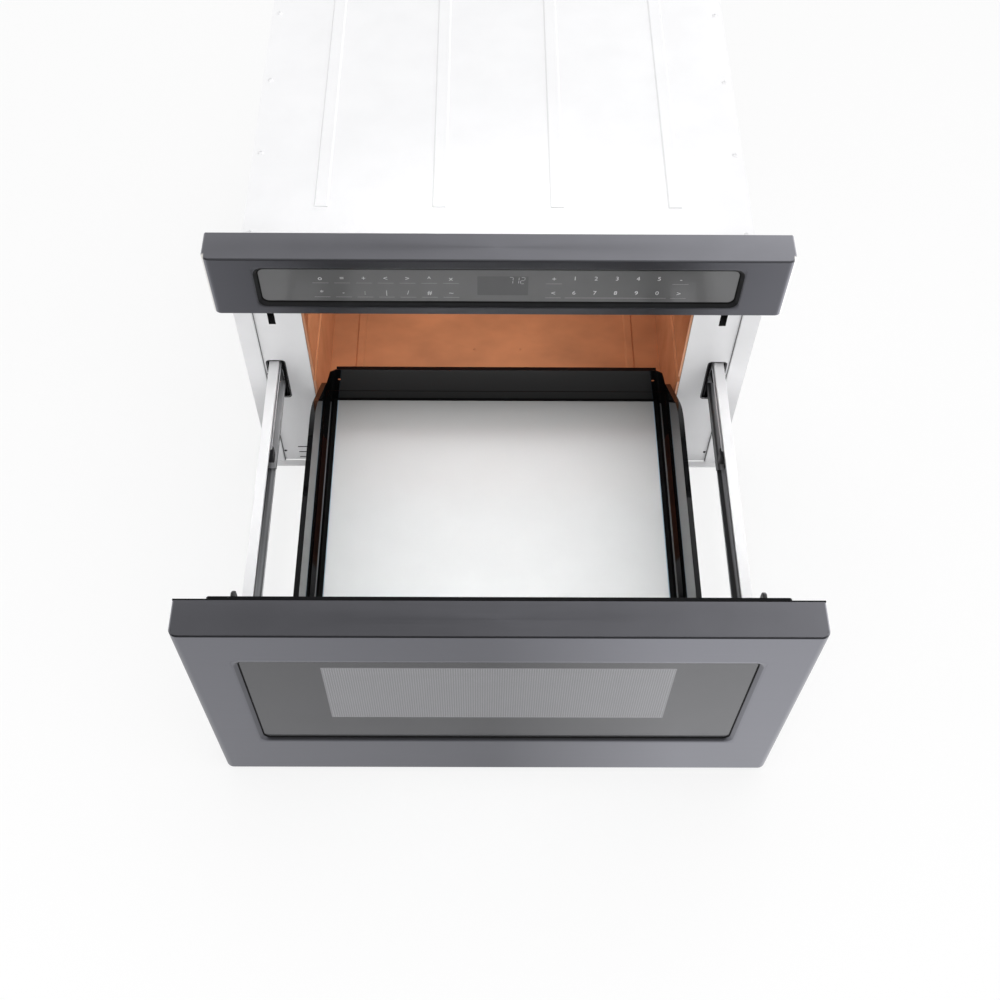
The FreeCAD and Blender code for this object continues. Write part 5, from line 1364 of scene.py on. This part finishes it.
@dataclass
class DrawerFront(Assembly):
    """Drawer front: skin, bevelled frame, glass with its dotted window, inner door and liner.

    Attributes:
        window_x: half width of the window.
        window_z: lower and upper edge of the window.
        dot_pitch: from dot to dot.
        dot_radius: radius of a dot.
        lip_x: half of the length of the painted highlight line over the recess.
    """

    nodes: tuple[str, ...] = ("inner_door", "window_screen", "door_liner", "inner_window")
    window_x: float = 174.0 * MM
    window_z: Span = (136.9 * MM, 252.6 * MM)
    dot_pitch: float = 2.4 * MM
    dot_radius: float = 0.7 * MM
    lip_x: float = 250.0 * MM

    def fittings(self) -> None:
        """Finish the front and print the window's dots."""
        low, high = self.model.box("drawer_skin")
        top = self.model.box("drawer_bevel")[1].z - RecessFrame.seat
        steel = FINISHES[Slot.FRONT_STEEL]
        # painted light on the drawer's steel: a darker painted tone where the face turns into the sides and a
        # painted highlight line over the recess
        skin = remade(ShadedSteel, steel, name="drawer_steel", face_y=low.y + FACE_DEPTH, half=high.x,
                      fold=tinted(steel.colour, 0.75), lip_x=self.lip_x,
                      lip_z=(top - 0.3 * MM, top + 1.3 * MM))
        self.model.softened("drawer_skin", SKIN_EDGE, finish=skin)
        # the recess slope is the same steel painted darker, a painted shade
        slope = replace(steel, name="slope_steel", colour=tinted(steel.colour, 0.70))
        RecessFrame(self.model, "drawer_bevel").build(steel, slope, Slot.FRONT_STEEL)
        glass = ZonedGlass("door_glass", (0.030, 0.030, 0.032), 0.15, zone_colour=(0.160, 0.160, 0.167),
                           zone_x=(-self.window_x, self.window_x), zone_z=self.window_z)
        self.model.dress("drawer_glass", finish=glass)
        self.dots()

    def dots(self) -> None:
        """Fine dots over the whole window."""
        low, high = self.window_z
        graph = GeometryGraph("window_dots")
        sizes: dict[str, Socket] = {}
        for axis, name, count, whole in (("X", "Width", "Columns", 2 * self.window_x),
                                         ("Y", "Height", "Rows", high - low)):
            length = whole - 2 * self.dot_pitch
            sizes["Size " + axis] = graph.size(name, length)
            sizes["Vertices " + axis] = graph.size(count, round(length / self.dot_pitch), "NodeSocketInt")
        grid = graph.add("GeometryNodeMeshGrid", sizes).outputs[0]
        upright = (math.pi / 2, 0, 0)
        plane = self.model.box("drawer_glass")[0].y - HAIR
        places = graph.moved(grid, (0, plane, (low + high) / 2), upright)
        radius = graph.size("Dot", self.dot_radius)
        dot = graph.add("GeometryNodeMeshCircle", {"Vertices": 6, "Radius": radius},
                        fill_type="NGON").outputs[0]
        shape = graph.repeated(graph.moved(dot, turn=upright), places)
        ink = Finish("dot_ink", (0.205, 0.205, 0.213), 0.35, drift=0.03, depth=0.000001)
        piece = graph.run(shape, ink.material(), PointSet().put([(0, 0, 0)], (0, -1, 0)), "window_dots")
        settle(piece, "drawer")


@dataclass
class Tray(Assembly):
    """Tray behind the drawer front: drawn pan, glass floor with its seal, side and rear walls."""

    nodes: tuple[str, ...] = ("tray_pan", "glass_gasket", "tray_sides", "tray_back")

    def fittings(self) -> None:
        """Finish the glass floor between its edges."""
        low, high = self.model.box("tray_glass")
        # the glass floor's painted shade runs from its front edge to its rear edge
        glass = replace(FINISHES[Slot.OVEN_GLASS], half=high.x, front=low.y, rear=high.y)
        self.model.dress("tray_glass", finish=glass)


@dataclass
class SlidePair(Assembly):
    """Side arms, telescopic slides with their balls, and the brackets that carry them.

    Attributes:
        ball: the bearing balls.
        stop_half: half width and half height of the moulded stops.
        stop_sections: distance behind the middle member's front end and share of the size, for each section.
        stop_outline: the stops' cornered outline, in shares of the half sizes.
    """

    nodes: tuple[str, ...] = ("slide_inner",)
    ball: Fasteners = field(default_factory=lambda: Fasteners(Head.BALL, 2.4 * MM))
    stop_half: Span = (3.4 * MM, 9.0 * MM)
    stop_sections: tuple[Span, ...] = ((0.5 * MM, 0.6), (1.5 * MM, 1.0), (12.0 * MM, 1.0), (14.0 * MM, 0.7))
    stop_outline: tuple[Span, ...] = ((-1, -0.8), (-0.7, -1), (0.7, -1), (1, -0.8), (1, 0.8), (0.7, 1),
                                      (-0.7, 1), (-1, 0.8))

    def fittings(self) -> None:
        """Finish both slides."""
        black = Finish("bracket_black", (0.010, 0.010, 0.011), 0.5, specular=0.1, drift=0.12, depth=0.000004)
        self.model.dress("slide_brackets", finish=black)
        for side, sign in (("left", -1), ("right", 1)):
            self.model.dress(*(node + side for node in ("slide_outer_", "slide_middle_", "cage_outer_",
                                                        "cage_inner_")))
            self.model.softened("arm_" + side, 0.5 * MM)
            self.outer_balls(side)
            self.bumper(side, sign)

    def outer_balls(self, side: str) -> None:
        """Round balls in place of the facetted ones.

        Args:
            side: left or right.
        """
        node = "balls_outer_" + side
        points = PointSet().put(clusters(self.model.nodes[node].data, 6 * MM), (0, 0, 1))
        piece = self.ball.place("balls_round_" + side, "outer_cage_" + side, points, Slot.BALL_STEEL)
        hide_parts(node)

    def bumper(self, side: str, sign: int) -> None:
        """Black moulded stop at the middle member's front end.

        Args:
            side: left or right.
            sign: minus one on the left and one on the right.
        """
        low, high = self.model.box("slide_middle_" + side)
        middle_x = (low.x + high.x) / 2 - sign * 0.4 * MM
        middle_z = (low.z + high.z) / 2
        half_x, half_z = self.stop_half
        rings = [[(middle_x + a * half_x * share, low.y + back, middle_z + b * half_z * share)
                  for a, b in self.stop_outline] for back, share in self.stop_sections]
        name = "slide_stop_" + side
        piece = new_piece(name, solid_from(rings, name), FINISHES[Slot.BLACK_PLASTIC].material())
        settle(piece, "middle_" + side)


def clusters(mesh: bpy.types.Mesh, reach: float) -> list[Point]:
    """Middles of the separate lumps of a mesh.

    Args:
        mesh: mesh made of separate small shapes.
        reach: points nearer than this to a lump's first point belong to it.

    Returns:
        The middle of each lump's box.
    """
    lumps: list[list[Vector]] = []
    for vertex in mesh.vertices:
        for lump in lumps:
            if (lump[0] - vertex.co).length < reach:
                lump.append(vertex.co)
                break
        else:
            lumps.append([vertex.co])
    return [tuple((min(axis) + max(axis)) / 2 for axis in zip(*lump)) for lump in lumps]


@dataclass
class Latch(Assembly):
    """Latch hooks on the drawer and the switch boxes behind the front plate."""

    nodes: tuple[str, ...] = ("latch_switches",)

    def fittings(self) -> None:
        """Round the hooks."""
        self.model.softened("latch_hooks", 1.3 * MM, 3)


@dataclass
class RackDrive(Assembly):
    """Rack, gears, gearbox and motor that move the drawer."""

    nodes: tuple[str, ...] = ("drive_gear", "motor_gear", "gearbox", "drive_motor", "rack", "rack_guide")


# ---- light and camera ----------------------------------------------------------
@dataclass(frozen=True)
class Ramp:
    """A tone that changes evenly between two places.

    Attributes:
        start: where it starts to change.
        end: where it has changed.
        first: the tone before that.
        last: the tone after it.
    """

    start: float
    end: float
    first: float
    last: float

    def over(self, graph: Graph, place: Socket) -> Socket:
        """The tone over a coordinate."""
        return graph.remap(place, self.start, self.end, self.first, self.last)


@dataclass(frozen=True)
class Lamp:
    """A square area lamp.

    Attributes:
        name: its name.
        place: where it hangs.
        size: its side.
        power: its power in watts.
        aim_at: the point that it faces.
        spread: how far its light fans out, in degrees.
    """

    name: str
    place: Point
    size: float
    power: float
    aim_at: Point = (0.0, -0.3, 0.2)
    spread: float = 180.0

    def hang(self) -> None:
        """Put the lamp in the scene, unseen in reflections."""
        data = bpy.data.lights.new(self.name, "AREA")
        data.shape = "SQUARE"
        data.size = self.size
        data.energy = self.power
        data.spread = math.radians(self.spread)
        lamp = linked(self.name, data)
        lamp.visible_glossy = False
        lamp.location = self.place
        aim = Vector(self.aim_at) - Vector(self.place)
        lamp.rotation_euler = aim.to_track_quat("-Z", "Y").to_euler()


LAMPS = (
    Lamp("key", (0.05, -0.70, 2.6), 1.7, 12.0),
    Lamp("fill", (-0.2, -2.1, 1.1), 1.5, 12.0),
    Lamp("rear", (0.3, 1.9, 1.9), 1.5, 3.0),
    Lamp("tray", (0.02, -0.49, 1.7), 0.45, 0.36, (0.0, -0.46, 0.0), 18.0),
    Lamp("oven", (-0.04, -0.07, 0.274), 0.38, 1.0, (-0.04, -0.03, 0.0)),
)


@dataclass
class Studio:
    """Pale floor, soft sky, lamps and the camera.

    Attributes:
        floor_reach: half of the floor's side.
        floor_level: height of the floor.
        floor_glow: share of the floor that shines by itself where it is seen.
        floor_tint: colour of the floor in reflections.
        floor_left: brightness of the mirrored floor left of the middle.
        floor_right: what is added right of the middle.
        beside_left: what is added left of the object, behind its front.
        beside_right: the same on the right.
        beside_from: where that starts along Y.
        rise: brightness of the mirrored sky over the height of the direction.
        side_left: share of it towards the left.
        side_right: what is added towards the right.
        front: share of it in front of the object.
        steep: least share of it overhead.
        soft_rise: brightness of the sky as a light over the height.
        soft_side: share of that across.
        camera_at: the camera's place.
        yaw: turn to the right, in degrees.
        pitch: tilt downwards, in degrees.
        roll: roll, in degrees.
        lens: focal length in millimetres on the default sensor.
        shift: shift of the frame across and up.
    """

    floor_reach: float = 30.0
    floor_level: float = -0.3 * MM
    floor_glow: float = 0.77
    floor_tint: Colour = (0.965, 0.97, 1.0)
    floor_left: Ramp = Ramp(-0.32, 0.0, 0.86, 0.64)
    floor_right: Ramp = Ramp(0.0, 0.21, 0.0, 0.80)
    beside_left: Ramp = Ramp(-0.58, -0.50, 0.3, 0.0)
    beside_right: Ramp = Ramp(0.50, 0.58, 0.0, 0.8)
    beside_from: Ramp = Ramp(-0.66, -0.58, 0.0, 1.0)
    rise: Ramp = Ramp(0.70, 0.87, 0.98, 0.20)
    side_left: Ramp = Ramp(-0.22, -0.02, 1.02, 0.73)
    side_right: Ramp = Ramp(0.0, 0.25, 0.0, 1.60)
    front: Ramp = Ramp(-0.35, 0.0, 0.05, 1.0)
    steep: Ramp = Ramp(0.62, 0.80, 0.0, 1.0)
    soft_rise: Ramp = Ramp(0.70, 0.87, 1.03, 0.80)
    soft_side: Ramp = Ramp(-0.25, 0.25, 0.75, 1.20)
    camera_at: Point = (-0.01607, -1.24964, 1.34487)
    yaw: float = 0.619
    pitch: float = 59.229
    roll: float = 0.715
    lens: float = 44.95
    shift: Span = (0.0105, 0.0747)

    def build(self) -> None:
        """Set up everything round the object."""
        self.floor()
        self.world()
        for lamp in LAMPS:
            lamp.hang()
        self.camera()

    def floor(self) -> None:
        """A wide pale floor that keeps a soft shadow."""
        graph = ShaderGraph("floor_paper")
        paper = graph.blend(graph.noise((3.0, 3.0, 3.0)), (0.80, 0.80, 0.80), (0.82, 0.82, 0.82))
        graph.feed(graph.shader.inputs["Base Color"], paper)
        graph.shader.inputs["Roughness"].default_value = 0.9
        path = graph.add("ShaderNodeLightPath").outputs
        shiny = path["Is Glossy Ray"]
        seen = graph.most(path["Is Camera Ray"], graph.most(shiny, path["Is Transmission Ray"]))
        across, along, _ = graph.axes()
        under = graph.plus(self.floor_left.over(graph, across), self.floor_right.over(graph, across))
        beside = graph.plus(self.beside_left.over(graph, across), self.beside_right.over(graph, across))
        mirrored = graph.plus(under, graph.times(beside, self.beside_from.over(graph, along)))
        glow = graph.add("ShaderNodeEmission", {"Color": graph.blend(shiny, (1.0, 1.0, 1.0), self.floor_tint),
                                                "Strength": graph.either(shiny, mirrored, 1.0)}).outputs[0]
        mix = graph.add("ShaderNodeMixShader", {0: graph.times(seen, self.floor_glow),
                                                1: graph.shader.outputs[0], 2: glow})
        graph.tree.links.new(mix.outputs[0], graph.tree.nodes["Material Output"].inputs["Surface"])
        reach = self.floor_reach
        corners = ((-reach, -reach), (reach, -reach), (reach, reach), (-reach, reach))
        mesh = bpy.data.meshes.new("floor")
        mesh.from_pydata([(x, y, self.floor_level) for x, y in corners], [], [(0, 1, 2, 3)])
        floor = new_piece("floor", mesh, graph.material)

    def world(self) -> None:
        """Soft sky: bright behind the object, lighter to the right, dark in front in reflections."""
        world = bpy.data.worlds.new("studio")
        bpy.context.scene.world = world
        world.use_nodes = True
        graph = Graph(world.node_tree)
        direction = graph.add("ShaderNodeTexCoord").outputs["Generated"]
        across, along, up = graph.add("ShaderNodeSeparateXYZ", {0: direction}).outputs
        side = graph.plus(self.side_left.over(graph, across), self.side_right.over(graph, across))
        front = graph.most(self.front.over(graph, along), self.steep.over(graph, up))
        mirrored = graph.times(graph.times(self.rise.over(graph, up), side), front)
        soft = graph.times(self.soft_rise.over(graph, up), self.soft_side.over(graph, across))
        path = graph.add("ShaderNodeLightPath").outputs
        level = graph.either(path["Is Glossy Ray"], mirrored, soft)
        backdrop = world.node_tree.nodes["Background"]
        backdrop.inputs["Color"].default_value = (1.0, 1.0, 1.0, 1.0)
        graph.feed(backdrop.inputs["Strength"], graph.either(path["Is Camera Ray"], 1.0, level))

    def camera(self) -> None:
        """The camera at the photograph's viewing angle."""
        yaw, pitch, roll = (math.radians(a) for a in (self.yaw, self.pitch, self.roll))
        ahead = Vector((math.sin(yaw) * math.cos(pitch), math.cos(yaw) * math.cos(pitch), -math.sin(pitch)))
        right = Vector((math.cos(yaw), -math.sin(yaw), 0.0))
        up = right.cross(ahead)
        across = right * math.cos(roll) + up * math.sin(roll)
        top = up * math.cos(roll) - right * math.sin(roll)
        data = bpy.data.cameras.new("camera")
        data.lens = self.lens
        data.shift_x, data.shift_y = self.shift
        camera = linked("camera", data)
        turn = Matrix((across, top, -ahead)).transposed().to_4x4()
        camera.matrix_world = Matrix.Translation(self.camera_at) @ turn
        bpy.context.scene.camera = camera


def main() -> None:
    """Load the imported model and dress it."""
    logging.basicConfig(level=logging.INFO, format="%(name)s: %(message)s")
    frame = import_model()
    model = Model.from_frame(frame)
    for kind in (CaseShell, OvenCavity, ControlPanel, DrawerFront, Tray, SlidePair, Latch, RackDrive):
        kind(model).build()
        LOG.info("%s is dressed", kind.__name__)
    Studio().build()
    bpy.context.scene.view_settings.view_transform = "Standard"


if __name__ == "__main__":
    main()
